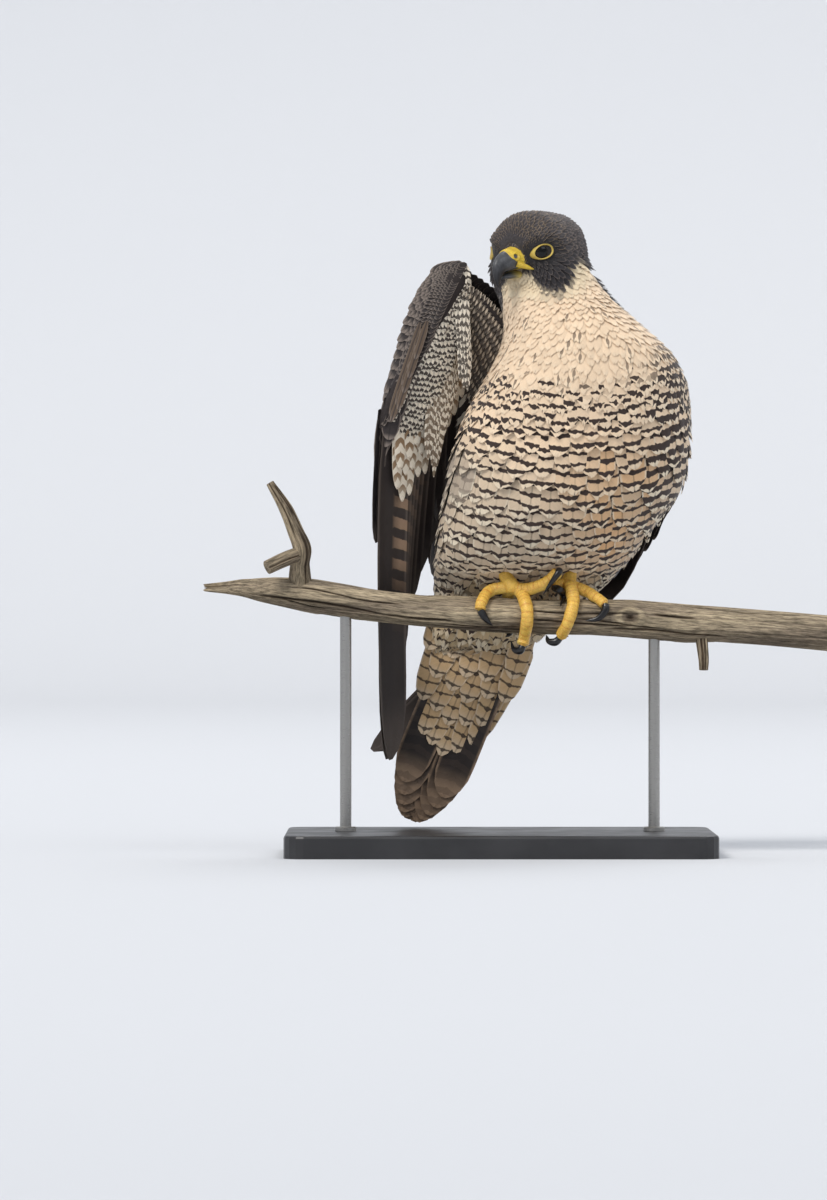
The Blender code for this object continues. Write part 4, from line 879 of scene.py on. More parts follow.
class FalconBareParts(bpy.types.PropertyGroup):
    """Colours of bill, eyes and feet."""
    cere: colour_setting("Cere", "Bare skin at the foot of the bill", "#E8C846")
    eye_ring: colour_setting("Eye ring", "Bare skin round the eye", "#D6BC5C")
    toe: colour_setting("Toes", "Scaled skin of the feet", "#F5C85C")
    toe_pale: colour_setting("Toe pads", "Paler skin of the pads", "#F3CF6A")
    horn: colour_setting("Bill", "Slate part of the bill", "#4E4F52")
    horn_tip: colour_setting("Bill tip", "Black tip of the bill and claws", "#1D1B1D")
    horn_base: colour_setting("Lower bill", "Yellowish foot of the lower bill", "#B9A75F")


class FalconPerch(bpy.types.PropertyGroup):
    """Colours of perch and stand."""
    wood: colour_setting("Wood", "Weathered wood", "#857767")
    wood_pale: colour_setting("Pale wood", "Raised fibres of the wood", "#CDBB9C")
    # the dark of cracks and knot, and of the painted shade on the branch's underside
    wood_dark: colour_setting("Cracks", "Cracks and underside of the wood", "#3A2C1E")
    paint: colour_setting("Base paint", "Paint of the display base", "#2B2B2D")
    steel: colour_setting("Rod steel", "Brushed rods", "#A8A6A2")


class FalconStage(bpy.types.PropertyGroup):
    """Floor and light."""
    floor: colour_setting("Floor", "Plain pale floor", "#D0D2D6")
    key: FloatProperty(name="Key light", description="Strength of the main light", default=1.9, min=0)
    fill: FloatProperty(name="Fill light", description="Strength of the second light", default=0.55, min=0)
    air: FloatProperty(name="Air light", description="Strength of the light from all round", default=0.6, min=0)


def settings():
    """The add-on's settings on this scene."""
    scene = bpy.context.scene
    return scene.falcon_plumage, scene.falcon_wings, scene.falcon_bare, scene.falcon_perch, scene.falcon_stage


def tints_of(group):
    """Every colour of a settings group, by name."""
    return {label: np.array(getattr(group, label)) for label in group.__annotations__ if
        hasattr(getattr(group, label), "__len__")}


# ---- skin and coat

SKIN_AROUND = 128                # points in each ring of the skin


def skin_points(deepest):
    """The skin as a grid: level rings up the trunk, then rings fanning from the head's middle to the crown."""
    angle = turns_of(SKIN_AROUND)
    round_about = vectors(np.cos(angle), np.sin(angle), np.zeros_like(angle))
    heights = np.arange(151, 390, 3)
    middle_x, middle_y, _, _ = trunk_section(heights)
    low_from = vectors(middle_x, middle_y, heights)[:, None] * np.ones((1, SKIN_AROUND, 1))
    low_way = np.broadcast_to(round_about, low_from.shape)
    tilt = np.radians(np.arange(-36, 90, 3))[:, None, None]
    high_way = round_about * np.cos(tilt) + np.array((0, 0, 1)) * np.sin(tilt)
    high_from = np.broadcast_to(HEAD_MIDDLE, high_way.shape)
    start = np.concatenate([low_from, high_from])
    way = np.concatenate([low_way, high_way])
    near, far = leave(lambda spots: body_distance(spots) < -coat_depth(spots, deepest), start, way,
        np.zeros(start.shape[:2]), np.full(start.shape[:2], 105), 22)
    return start + way * ((near + far) / 2)[..., None]


def skin_material():
    """Downy skin under the feathers: it carries the coat's markings, with fine soft down as bump."""
    material, tree, shader = new_material("downy skin under the coat", Roughness=0.9, Sheen_Weight=0.15)
    ground = add(tree, "Attribute", out="Color", attribute_name="ground")
    place = add(tree, "TexCoord", out="Object")
    down = add(tree, "TexNoise", {"Vector": place, "Scale": 700, "Detail": 3})
    tone = add(tree, "MapRange", (down, 0.3, 0.7, 0.55, 0.95), interpolation_type="SMOOTHSTEP")
    finish(tree, shader, ground, (tone, tone, tone), down, 0.5, 0.001)
    return material


ROOTS_FROM, ROOTS_TO = 144, 412  # heights of the lowest and the highest row of feathers on trunk and neck
ROW_HEIGHTS = (190, 222, 285, 330, 386)  # where the settings' rows apply, from thighs to neck


def trunk_roots(plumage, random):
    """Roots in staggered rows up the trunk and neck, closer where feathers are smaller."""
    roots, sizes = [], []
    rows = (plumage.thigh_row, plumage.trunk_row, plumage.trunk_row, plumage.breast_row, plumage.neck_row)
    height = ROOTS_FROM
    row = 0
    while height < ROOTS_TO:
        pitch = np.interp(height, ROW_HEIGHTS, rows) / MM
        middle_x, middle_y, half_x, half_y = trunk_section(height)
        around = math.pi * (half_x + half_y)
        count = max(int(around / (pitch * 0.95)), 8)
        turn = 2 * math.pi * (np.arange(count) + 0.5 * (row % 2) + random.uniform(-0.3, 0.3, count)) / count
        cos, sin = np.cos(turn), np.sin(turn)
        reach = (np.abs(cos / half_x) ** BODY_POWER + np.abs(sin / half_y) ** BODY_POWER) ** (-1 / BODY_POWER)
        level = height + random.uniform(-0.34, 0.34, count) * pitch
        roots.append(vectors(middle_x + reach * cos, middle_y + reach * sin, level))
        sizes.append(np.full(count, pitch))
        height += pitch * 0.9
        row += 1
    roots = np.vstack(roots)
    sizes = np.concatenate(sizes)
    keep = head_distance(roots) > -2
    return roots[keep], sizes[keep]


def head_roots(plumage, random):
    """Roots in rings round the head from the bill back, closest at the bill."""
    roots, sizes = [], []
    turn_from_bill = math.radians(17)
    row = 0
    while turn_from_bill < math.radians(176):
        near = 1 - float(ease(20, 75, math.degrees(turn_from_bill)))
        pitch = mix(plumage.head_row, plumage.face_row, near) / MM
        count = max(int(2 * math.pi * 30 * math.sin(turn_from_bill) / (pitch * 0.82)), 6)
        turn = 2 * math.pi * (np.arange(count) + 0.5 * (row % 2) + random.uniform(-0.22, 0.22, count)) / count
        lean = turn_from_bill + random.uniform(-0.2, 0.2, count) * pitch / 30
        way = vectors(np.cos(lean), np.sin(lean) * np.cos(turn), np.sin(lean) * np.sin(turn)) @ HEAD_FRAME
        reach, _ = leave(lambda spots: head_distance(spots) < 0, HEAD_MIDDLE, way, np.full(count, 8),
            np.full(count, 48), 18)
        roots.append(HEAD_MIDDLE + way * reach[:, None])
        sizes.append(np.full(count, pitch))
        turn_from_bill += pitch / 31
        row += 1
    roots = np.vstack(roots)
    sizes = np.concatenate(sizes)
    keep = trunk_distance(roots) > -1.5
    for side in (1, -1):
        beside = eye_ring_distance(roots, side)
        keep &= beside > 1
        sizes = sizes * mix(0.7, 1, ease(1, 2.2, beside))
    keep &= np.linalg.norm(roots - head_point(34, 0, 1), axis=-1) > 8
    return roots[keep], sizes[keep]


def eye_place(side):
    """Middle of an eyeball, the way it faces, and the ring's two directions; side is 1 for the left eye."""
    ahead, aside, above = EYE_FACING if side > 0 else RIGHT_EYE_FACING
    facing = unit(np.array((ahead, side * aside, above)) @ HEAD_FRAME)
    ahead, aside, above = EYE_SPOT if side > 0 else RIGHT_EYE_SPOT
    spot = head_point(ahead, side * aside, above)
    upward = unit(UPWARD - facing * UPWARD.dot(facing))
    return spot - facing * EYE_RADIUS, facing, np.cross(upward, facing), upward


def eye_ring_distance(points, side):
    """Distance from the eye's axis as a share of the bare ring's half sizes; large on the head's far side."""
    middle, facing, rear, rise = ring_frame(side)
    away = points - middle
    across = np.hypot(away @ rear / (LID_HALF[0] + 1), away @ rise / (LID_HALF[1] + 1))
    return np.where(away @ facing > 0, across, 9)


def coat_lines(roots, stations, length, clearances, lift_tip):
    """Middle lines of feathers: from each root along the coat's lie, at a clearance that rises to the tip."""
    point = settle(roots, clearances[0])
    line = [point]
    normals = [body_slope(point)[0]]
    for share, before in zip(stations[1:], stations[:-1]):
        way = lie_of_coat(point)
        outward = normals[-1]
        way = unit(way - outward * (way * outward).sum(axis=-1, keepdims=True))
        point = point + way * ((share - before) * length)[:, None]
        height = mix(clearances[0], clearances[1], share ** 0.8) + lift_tip * share ** 3
        point = settle(point, height, 2)
        line.append(point)
        normals.append(body_slope(point)[0])
    return np.stack(line, axis=1), np.stack(normals, axis=1)


def build_coat(name, roots, pitch, stations, columns, shape, marks, chance, random, material, unwrap, deepest):
    """One piece of the coat: many feathers marched over the body from their roots.

    A feather's length and width are its row's distance times the shape's numbers, a tenth or so either
    way. Its root lies under the coat by a share of the coat's depth, and its tip stands off by the loft.
    """
    long, wide, tip_from, ragged_share, loft, sunk = shape
    length = pitch * long * (0.9 + 0.2 * random.random(len(roots)))
    depth = coat_depth(roots, deepest)
    line, normal = coat_lines(roots, stations, length, (-depth * sunk - 0.4, 0.3), loft)
    outline = vane_outline(stations, 0.35, tip_from, 0.12)
    half = (pitch * wide * 0.5 * (0.85 + 0.3 * random.random(len(roots))))[:, None] * outline
    ragged = random.uniform(-1, 1, (len(roots), 1, len(columns)))
    stretch = ragged * ease(0.72, 1, stations)[None, :, None] * (ragged_share * length[:, None, None])
    rings = vane_rings(line, normal, half, columns, 0.03 * pitch + 0.1, camber=0.12, roll=random.uniform(-0.1, 0.1,
        len(roots)), stretch=stretch)
    values = feather_attributes(stations, columns, half, length, marks, chance)
    place_piece(name, closed_rings(name, rings, values, home=unwrap(roots)), material)


# length and width in pitches, where the tip starts, ragged share, loft of the tip, share of depth sunk
COAT_SHAPES = {
    "head": (2.6, 1.15, 0.5, 0.1, 0.25, 0.8),
    "back": (2.8, 1.35, 0.62, 0.03, 0, 0.8),
    "breast": (3.1, 1.5, 0.55, 0.1, 0, 0.3),
    "belly": (2.6, 1.35, 0.66, 0.04, 0.5, 0.8),
    "thigh": (2.9, 1.2, 0.55, 0.12, 1, 0.8),
}


def chosen(marks, keep):
    """The markings of the chosen roots."""
    return {label: values[keep] for label, values in marks.items()}


def make_skin():
    """The skin under the coat: the ground colour mixed a quarter towards the marks, more where barred."""
    plumage = settings()[0]
    points = skin_points(plumage.coat_depth / MM)
    mesh = mesh_from_grids("skin", [points])
    spots = np.empty(len(mesh.vertices) * 3)
    mesh.vertices.foreach_get("co", spots)
    spots = spots.reshape(-1, 3) / MM
    marks = body_markings(spots, np.full(len(spots), 0.5), tints_of(plumage))
    darker = mix(marks["ground"], marks["mark"], 0.25 + 0.15 * marks["bars"][:, None])
    add_attribute(mesh, "ground", darker, (len(spots),))
    place_piece("skin", mesh, skin_material(), ("head", "neck", "torso"))


def make_head_coat():
    """Crown and cheek feathers, parted by the level of the head's middle."""
    plumage = settings()[0]
    random = draws("head coat")
    roots, pitch = head_roots(plumage, random)
    chance = random.random(len(roots))
    marks = body_markings(roots, chance, tints_of(plumage))
    material = feather_material("keratin vanes of the head", 0.72, 0.5, 0.1)
    upper = in_head(roots)[:, 2] > 0
    for name, keep in (("crown_feathers", upper), ("cheek_feathers", ~upper)):
        build_coat(name, roots[keep], pitch[keep], SMALL_STATIONS, SMALL_COLUMNS, COAT_SHAPES["head"],
            chosen(marks, keep), chance[keep], random, material, unwrap_head, plumage.coat_depth / MM)


def make_body_coat():
    """Back, breast, belly and thigh feathers, parted by marking and by height of root."""
    plumage = settings()[0]
    random = draws("body coat")
    roots, pitch = trunk_roots(plumage, random)
    chance = random.random(len(roots))
    marks = body_markings(roots, chance, tints_of(plumage))
    material = feather_material("keratin vanes of the body", 0.78, 0.42, 0.15)
    back = marks["dark"] > 0.5
    thigh = (roots[:, 2] < 205) & ~back
    breast = (roots[:, 2] > 318) & ~back & ~thigh
    belly = ~(back | thigh | breast)
    for part, keep in {"back": back, "breast": breast, "belly": belly, "thigh": thigh}.items():
        build_coat(part + "_feathers", roots[keep], pitch[keep], CONTOUR_STATIONS, CONTOUR_COLUMNS, COAT_SHAPES[part],
            chosen(marks, keep), chance[keep], random, material, unwrap_trunk,
            plumage.coat_depth / MM)


# ---- wings and tail

FLIGHT_STATIONS = np.array((0, 0.08, 0.18, 0.3, 0.42, 0.54, 0.66, 0.77, 0.86, 0.93, 0.975, 1))
COVERT_STATIONS = np.array((0, 0.25, 0.5, 0.72, 0.87, 0.96, 1))
TIP_WIDTH = 0.14                 # width left at a vane's very end, as a share of its widest


def curved_lines(root, tip, stations, bow, bow_way):
    """Middle lines from roots to tips, bent aside in an arch by bow millimetres half way."""
    arch = (4 * stations * (1 - stations))[None, :, None]
    line = root[:, None] * (1 - stations)[None, :, None] + tip[:, None] * stations[None, :, None]
    return line + bow * arch * bow_way[:, None]


def build_vanes(name, root, tip, face, half_width, marks, chance, material, slot, stations=COVERT_STATIONS,
        columns=CONTOUR_COLUMNS, thick=0.35, camber=0.12, skew=0, roll=0, bow=0, tip_from=0.6, full_from=0.3,
        shaft=0, solid=False, wrap=None, home=None, patch=0.003, replaced=(), turned=None):
    """Feathers with given roots and tips.

    face is the way their upper side looks at the root, and turned the way it looks at the tip. Where wrap
    is given, a point nearer to the body than its stand-off is pushed out along the body's slope.
    """
    count = len(root)
    axis = unit(tip - root)
    face = np.broadcast_to(face, root.shape)
    face = unit(face - axis * (face * axis).sum(axis=-1, keepdims=True))
    side = np.cross(axis, face)
    line = curved_lines(root, tip, stations, bow, -side)
    normal = np.broadcast_to(face[:, None], line.shape)
    if turned is not None:
        turned = np.broadcast_to(turned, root.shape)
        last = unit(turned - axis * (turned * axis).sum(axis=-1, keepdims=True))
        normal = unit(mix(face[:, None], last[:, None], stations[None, :, None]))
    if wrap is not None:
        first, final = wrap
        stand_off = mix(np.asarray(first).reshape(-1, 1), np.asarray(final).reshape(-1, 1), stations[None])
        outward, distance = body_slope(line)
        line = line + outward * np.clip(stand_off - distance, 0, 40)[..., None]
        outward, distance = body_slope(line)
        line = line + outward * np.clip(stand_off - distance, 0, 8)[..., None]
        close = ease(30, 6, distance - stand_off)[..., None]
        normal = unit(normal * (1 - close) + outward * close)
    outline = vane_outline(stations, full_from, tip_from, TIP_WIDTH)
    half = np.broadcast_to(np.asarray(half_width, dtype=float).reshape(-1, 1), (count, 1)) * outline
    length = np.linalg.norm(tip - root, axis=-1)
    rings = vane_rings(line, normal, half, columns, np.broadcast_to(thick, (count,)), camber=camber, skew=skew,
        roll=np.broadcast_to(roll, (count,)), shaft=shaft, solid=solid)
    full_marks = dict(marks)
    if callable(marks.get("bars")):
        across, along, _, _ = vane_values(stations, columns, half, length, solid)
        for label, value in marks.items():
            if callable(value):
                full_marks[label] = value(across, along)
    values = feather_attributes(stations, columns, half, length, full_marks, chance, solid)
    home = unwrap_trunk((root + tip) / 2) if home is None else home
    mesh = closed_rings(name, rings, values, home=home, patch=patch)
    place_piece(name, mesh, material, replaced)


def strips(count):
    """Places and size of side-by-side strips on the bake map, one for each large feather."""
    home = vectors((np.arange(count) + 0.5) / count, np.full(count, 0.5))
    return home, (0.86 / count, 0.8)


def long_feathers(name, root, tip, face, half_width, marks, random, material, replaced=(), **ways):
    """A row of flight or tail feathers: full vanes with an underside, each with its own strip of the bake map."""
    home, patch = strips(len(root))
    ways = {"thick": 0.45, "camber": 0.1, "full_from": 0.2, "shaft": 0.4, **ways}
    build_vanes(name, root, tip, face, half_width, marks, random.random(len(root)), material, DARK,
        stations=FLIGHT_STATIONS, columns=FLIGHT_COLUMNS, solid=True, home=home, patch=patch, replaced=replaced,
        **ways)


PRIMARIES = 10                   # on each wing, numbered from the wrist outwards
SECONDARY_TAPER = 14             # how much shorter the innermost secondary is
TAIL_SIDE = 6                    # tail feathers on each side


def primaries():
    """Numbers of the primaries from the outermost inwards, and each one's share of the way in."""
    numbers = np.arange(PRIMARIES, 0, -1)
    return numbers, (PRIMARIES - numbers) / (PRIMARIES - 1)


def primary_lengths(numbers):
    """Lengths of primaries by number: the ninth is the longest and the tenth a little shorter."""
    rise = (numbers - 1) / (PRIMARIES - 2)
    lengths = SHORTEST_PRIMARY + (LONGEST_PRIMARY - SHORTEST_PRIMARY) * rise ** 1.35
    return np.where(numbers == PRIMARIES, LONGEST_PRIMARY * 0.955, lengths)


def vane_marks(ground, mark, fringe, bars=0, duty=0.4, slant=0, pitch=9, shaft=0, spot=0, edge=0):
    """Markings of a set of like feathers."""
    return {"ground": ground, "mark": mark, "fringe": fringe, "bars": bars, "duty": duty, "slant": slant,
        "pitch": pitch, "shaft": shaft, "spot": spot, "edge": edge}


def varied(marks, random, count, spread=0.16):
    """The markings with a slightly different ground on each feather."""
    tone = 1 + spread * (random.random((count, 1)) - 0.5)
    return {**marks, "ground": np.asarray(marks["ground"]) * tone}


def tract(first, last, aims, faces, tiers, count, random, stagger=0.5, jitter=0.12):
    """Roots, tips and facing ways of overlapping tiers of feathers, and their places in the tract.

    first and last are the lines of roots of the top and the bottom tier. aims and faces each hold two
    rows of directions along those lines: how far and where the feathers point, and which way they look.
    """
    tier = np.repeat(np.arange(tiers), count)
    down = tier / max(tiers - 1, 1)
    place = np.tile(np.arange(count), tiers) + stagger * (tier % 2) + random.uniform(-jitter, jitter, tiers * count)
    along = np.clip(place / (count - 1 + stagger), 0, 1)

    def between(top, bottom):
        """Values along the tract, mixed from its top line to its bottom line by depth."""
        return mix(smooth_at(top, along), smooth_at(bottom, along), down[:, None])

    root = between(first, last)
    aim = between(*aims) * (0.93 + 0.14 * random.random((tiers * count, 1)))
    return root, root + aim, unit(between(*faces)), along, down


def plant(name, lines, aims, faces, counts, width, marks, material, random, pale=False, lift=(-0.5, 1.2), roll=0.14,
        stand=None, rise=0, **ways):
    """One joined piece of a tract's feathers; counts holds tiers and feathers in a tier.

    width and stand, the height off the body, each hold a size, what the tract's length adds to it, and
    what its depth adds. Tips lie higher than roots by rise.
    """
    root, tip, face, along, down = tract(*lines, aims, faces, *counts, random)
    size, by_length, by_depth = width
    home = vectors(0.03 + 0.94 * along, 0.03 + 0.94 * down)
    chance = random.random(len(root))
    roll = roll + random.uniform(-0.06, 0.06, len(root))
    if stand:
        height = stand[0] + stand[1] * along + stand[2] * down
        ways["wrap"] = (height, height + rise)
    build_vanes(name, root + face * lift[0], tip + face * lift[1], face, size + by_length * along + by_depth * down,
        varied(marks, random, len(root)), chance, material, PALE if pale else DARK, roll=roll, home=home, **ways)


def flight_marks(wings, strength):
    """Primaries and secondaries: plain dark outer vane, pale bars across the inner vane near the root."""
    tints = tints_of(wings)

    def bars(across, along):
        """Bars show on the leading vane between an eighth and half of the way along."""
        full = np.broadcast_to(strength, along.shape[:1])[:, None, None]
        return ease(0.05, 0.35, across) * ease(0.14, 0.22, along) * ease(0.56, 0.47, along) * full

    def ground(across, along):
        """Dark, mixed towards the inner tint across the vane, a tenth darker at both edges."""
        dark = mix(tints["flight"], tints["flight_inner"], ease(-0.1, 0.5, across)[..., None])
        return dark * (1 - 0.1 * np.abs(across))[..., None]

    def level(value):
        """The same value all over a feather."""
        return lambda across, along: np.full(across.shape, value)

    def tint(label):
        """The same colour all over a feather."""
        return lambda across, along: np.broadcast_to(tints[label], across.shape + (3,))

    return {"ground": ground, "mark": tint("flight_bar"), "fringe": tint("covert_edge"), "bars": bars,
        "duty": level(0.52), "slant": level(0.35), "pitch": level(15), "shaft": level(0), "spot": level(0),
        "edge": level(0.3)}


RIGHT_LEAN = (math.radians(12.4), math.radians(27))  # outermost and innermost primary, from the vertical
HAND_ALONG = unit(RIGHT_FINGER - RIGHT_WRIST)  # out along the hand
HAND_ACROSS = unit(np.array((0.87, 0.50, 0)))  # towards the trailing edge, at the feathers' roots
HAND_ACROSS_TIP = unit(np.array((0.68, 0.73, 0)))  # the same at their tips
HAND_DORSAL = unit(np.array((-0.62, 0.78, 0)))  # the way the hand's upper side looks


def face_of(axis, across):
    """The way the upper side looks when the trailing edge lies towards across."""
    return unit(np.cross(across, axis))


def wing_skin_material(tint):
    """Skin of the wing between the feather roots: dull, downy, the colour of the feathers' shaded bases."""
    material, tree, shader = new_material("downy skin of the wing", Roughness=0.9)
    down = add(tree, "TexNoise", {"Vector": add(tree, "TexCoord", out="Object"), "Scale": 500, "Detail": 3})
    shade = add(tree, "Mix", {0: down, 6: (*(0.7 * tint), 1), 7: (*(1.2 * tint), 1)}, 2, data_type="RGBA")
    tree.links.new(shade, shader.inputs["Base Color"])
    bump = add(tree, "Bump", {"Height": down, "Strength": 0.5, "Distance": 0.001})
    tree.links.new(bump, shader.inputs["Normal"])
    return material


def arm_plate(shoulder, elbow, wrist, thick, belly):
    """The triangle of shoulder, elbow and wrist with its fold of skin: oval sections across a padded plate."""
    facing = unit(np.cross(wrist - shoulder, elbow - shoulder))
    spanwise = unit(wrist - shoulder)
    bulge = unit(np.cross(spanwise, facing))
    bulge = bulge * -np.sign(bulge.dot(elbow - shoulder))
    share = np.linspace(0, 1, 25)[:, None]
    edge = mix(shoulder, wrist, share) + bulge * belly * np.sin(math.pi * np.minimum(share, 0.92)) ** 0.5
    bone = np.where(share < 0.4, mix(shoulder, elbow, share / 0.4), mix(elbow, wrist, (share - 0.4) / 0.6))
    chord = unit(elbow - mix(shoulder, wrist, 0.4))
    chord = unit(chord - spanwise * spanwise.dot(chord))
    reach = np.linalg.norm(bone - edge, axis=1)[:, None, None] / 2 + 6
    angle = turns_of(32)
    depth = (thick * (1.25 - 0.55 * share))[:, None]
    return (mix(edge, bone, 0.5)[:, None] + chord * reach * np.cos(angle)[None, :, None] + facing * depth *
        np.sin(angle)[None, :, None])


def make_right_hand(wings, flight, small):
    """The hand of the raised wing: ten primaries, five sets of coverts and the skin between their roots."""
    tints = tints_of(wings)
    random = draws("right hand")
    numbers, share = primaries()
    root = mix(RIGHT_FINGER, RIGHT_WRIST, (share * 0.94)[:, None]) + HAND_ALONG * (3 * (1 - share))[:, None]
    lean = RIGHT_LEAN[0] + (RIGHT_LEAN[1] - RIGHT_LEAN[0]) * share ** 0.9
    axis = unit(vectors(-0.08 * np.sin(math.pi * share), np.sin(lean), -np.cos(lean)))
    tip = root + axis * primary_lengths(numbers)[:, None]
    strong_bars = np.where(numbers == PRIMARIES, 0.9, 0.2)
    long_feathers("right_primaries", root, tip, face_of(axis, HAND_ACROSS), 12.5, flight_marks(wings, strong_bars),
        random, flight, ("right_wing_hand",), skew=0.42, bow=4, tip_from=0.8, shaft=0.5,
        turned=face_of(axis, HAND_ACROSS_TIP))

    path = smooth_path((RIGHT_WRIST - HAND_ALONG * 8, RIGHT_WRIST, mix(RIGHT_WRIST, RIGHT_FINGER, 0.5), RIGHT_FINGER,
        RIGHT_FINGER + HAND_ALONG * 16), 30)
    core = tube_points(path, spread_values((3, 9.5, 9, 6.5, 2), 30), 20)
    put_grids("right_hand_skin", [core], wing_skin_material(tints["covert"]), DARK)

    toward = np.array((0, -9, 0))
    edge = [mix(RIGHT_WRIST, RIGHT_FINGER, share) + toward * depth for share, depth in ((-0.12, 0.6), (0.1, 1),
        (0.5, 0.95), (1, 0.6))]
    dark = vane_marks(tints["covert"], tints["covert"] * 0.4, tints["covert_edge"], shaft=0.5, edge=0.75)
    turn = np.radians((12, 34, 60, 84))
    ways = vectors(-np.cos(turn), np.full(4, 0.12), -np.sin(turn))
    aims = (ways * np.array((10, 13, 17, 24))[:, None] + (0, 2, 0), ways * np.array((16, 24, 32, 42))[:, None] +
        (0, 8, 0))
    faces = (((-0.25, -0.95, 0.35),) * 4, ((-0.85, -0.5, 0.35),) * 4)
    last = [point + np.array((-9, 8, -1)) * size for point, size in zip(edge, (0.7, 1, 1, 0.7))]
    plant("right_upper_coverts", (edge, last), aims, faces, (5, 24), (4.2, 2.6, 1.2), dark, small, random,
        tip_from=0.5)
    first = [point + np.array((2.5, -0.6, 0.5)) for point in edge]
    last = [point + np.array((-7, 3.6, -1)) * size for point, size in zip(edge, (0.7, 1, 1, 0.7))]
    aims = (ways * np.array((6, 7, 8, 10))[:, None], ways * np.array((8, 10, 12, 14))[:, None])
    plant("right_edge_coverts", (first, last), aims, faces, (5, 38), (2.1, 0, 0.8), dark, small, random,
        lift=(0, 1.7), tip_from=0.5)
    long_dark = vane_marks(mix(tints["covert"], tints["under_brown"], 0.3), tints["covert"], tints["covert_edge"],
        shaft=0.8, edge=0.5)
    line = [mix(RIGHT_WRIST, RIGHT_FINGER, share) + toward + (inward, -1.6, 0) for share, inward in
        ((0.32, -5.5), (0.54, -2.5), (0.76, 1))]
    aims = (((-8.5, 1.5, -28),) * 3, ((-9.5, 3, -32),) * 3)
    plant("right_edge_strip", (line, [point + np.array((-4.5, 1.8, 0)) for point in line]), aims,
        (((-0.3, -0.95, 0.1),) * 3, ((-0.6, -0.8, 0.1),) * 3), (3, 4), (2.6, 0, 0), long_dark, small, random,
        lift=(0.3, 1.2), tip_from=0.7, roll=0.05)

    lean = np.radians((27, 20, 12.4))
    ways = vectors((-0.06, -0.05, -0.03), np.sin(lean), -np.cos(lean))
    line = [mix(RIGHT_WRIST, RIGHT_FINGER, share) + HAND_DORSAL * 4 - HAND_ACROSS * 7 for share in (0.3, 0.65, 1.05)]
    aims = (ways * np.array((62, 74, 84))[:, None], ways * np.array((78, 90, 98))[:, None])
    faces = (np.broadcast_to(HAND_DORSAL - 0.4 * HAND_ACROSS, (3, 3)), np.broadcast_to(HAND_DORSAL, (3, 3)))
    plant("right_primary_coverts", (line, [point + HAND_ACROSS * 4 for point in line]), aims, faces, (2, 10),
        (6.5, 0, 0), dark, small, random, tip_from=0.72)

    barred = vane_marks(tints["under_pale"], tints["under_dark"], tints["under_pale"], bars=0.95, duty=0.36,
        slant=0.7, pitch=4.9, shaft=0.3, edge=0.5)
    ways = np.array(((0.10, 0.15, -0.95), (-0.08, 0.2, -0.97), (-0.1, 0.2, -0.97)))
    inner = [edge[0] + (3, 4, -12), edge[2] + (17, 9, -3), edge[3] + (15, 9, -3)]
    aims = (ways * 11, ways * np.array((18, 22, 26))[:, None])
    faces = (((0.1, -1, 0.2),) * 3, ((0.55, -0.83, 0),) * 3)
    outer = [point + np.array((2, -0.5, 0)) for point in (edge[0], edge[2], edge[3])]
    plant("right_under_marginals", (outer, inner), aims, faces, (8, 26), (2.3, 0, 0.5), barred, small, random,
        pale=True, roll=-0.14, tip_from=0.5)
    narrow = vane_marks(tints["under_pale"], tints["under_brown"] * 0.5, tints["under_pale"], bars=0.9, duty=0.5,
        slant=0.8, pitch=6.4, shaft=0.5, edge=0.5)
    line = ((-33, -11, 372), (-41, -9, 348), (-50, -7, 322))
    aims = (((-3, 7, -36), (-4, 8, -40), (-3, 9, -42)), ((-6, 12, -46), (-6, 12, -52), (-4, 12, -54)))
    plant("right_under_medians", (line, [np.asarray(point) + (7, 4, -4) for point in line]), aims,
        (((0.35, -0.93, 0),) * 3,) * 2, (4, 11), (2.2, 0, 0), narrow, small, random, pale=True, lift=(0.5, 2),
        roll=-0.1, tip_from=0.55)

    brown = vane_marks(tints["under_brown"], tints["under_pale"], tints["under_pale"], bars=0.95, duty=0.5, slant=1.2,
        pitch=10.5, shaft=0, edge=0.6)
    lean = np.radians((24, 18, 12.4))
    ways = vectors((-0.02, -0.03, -0.03), np.sin(lean), -np.cos(lean))
    line = [mix(RIGHT_WRIST, RIGHT_FINGER, share) - HAND_DORSAL * 6 + HAND_ACROSS * depth for share,
        depth in ((0.35, 18), (0.7, 12), (1.02, 2))]
    aims = (ways * np.array((38, 44, 44))[:, None], ways * np.array((58, 66, 70))[:, None])
    faces = (np.broadcast_to(-HAND_DORSAL, (3, 3)),) * 2
    plant("right_under_coverts", (line, [point + HAND_DORSAL * 2 + HAND_ACROSS * 3 for point in line]), aims, faces,
        (3, 9), (4.6, 0, 0), brown, small, random, pale=True, roll=-0.14, tip_from=0.6)


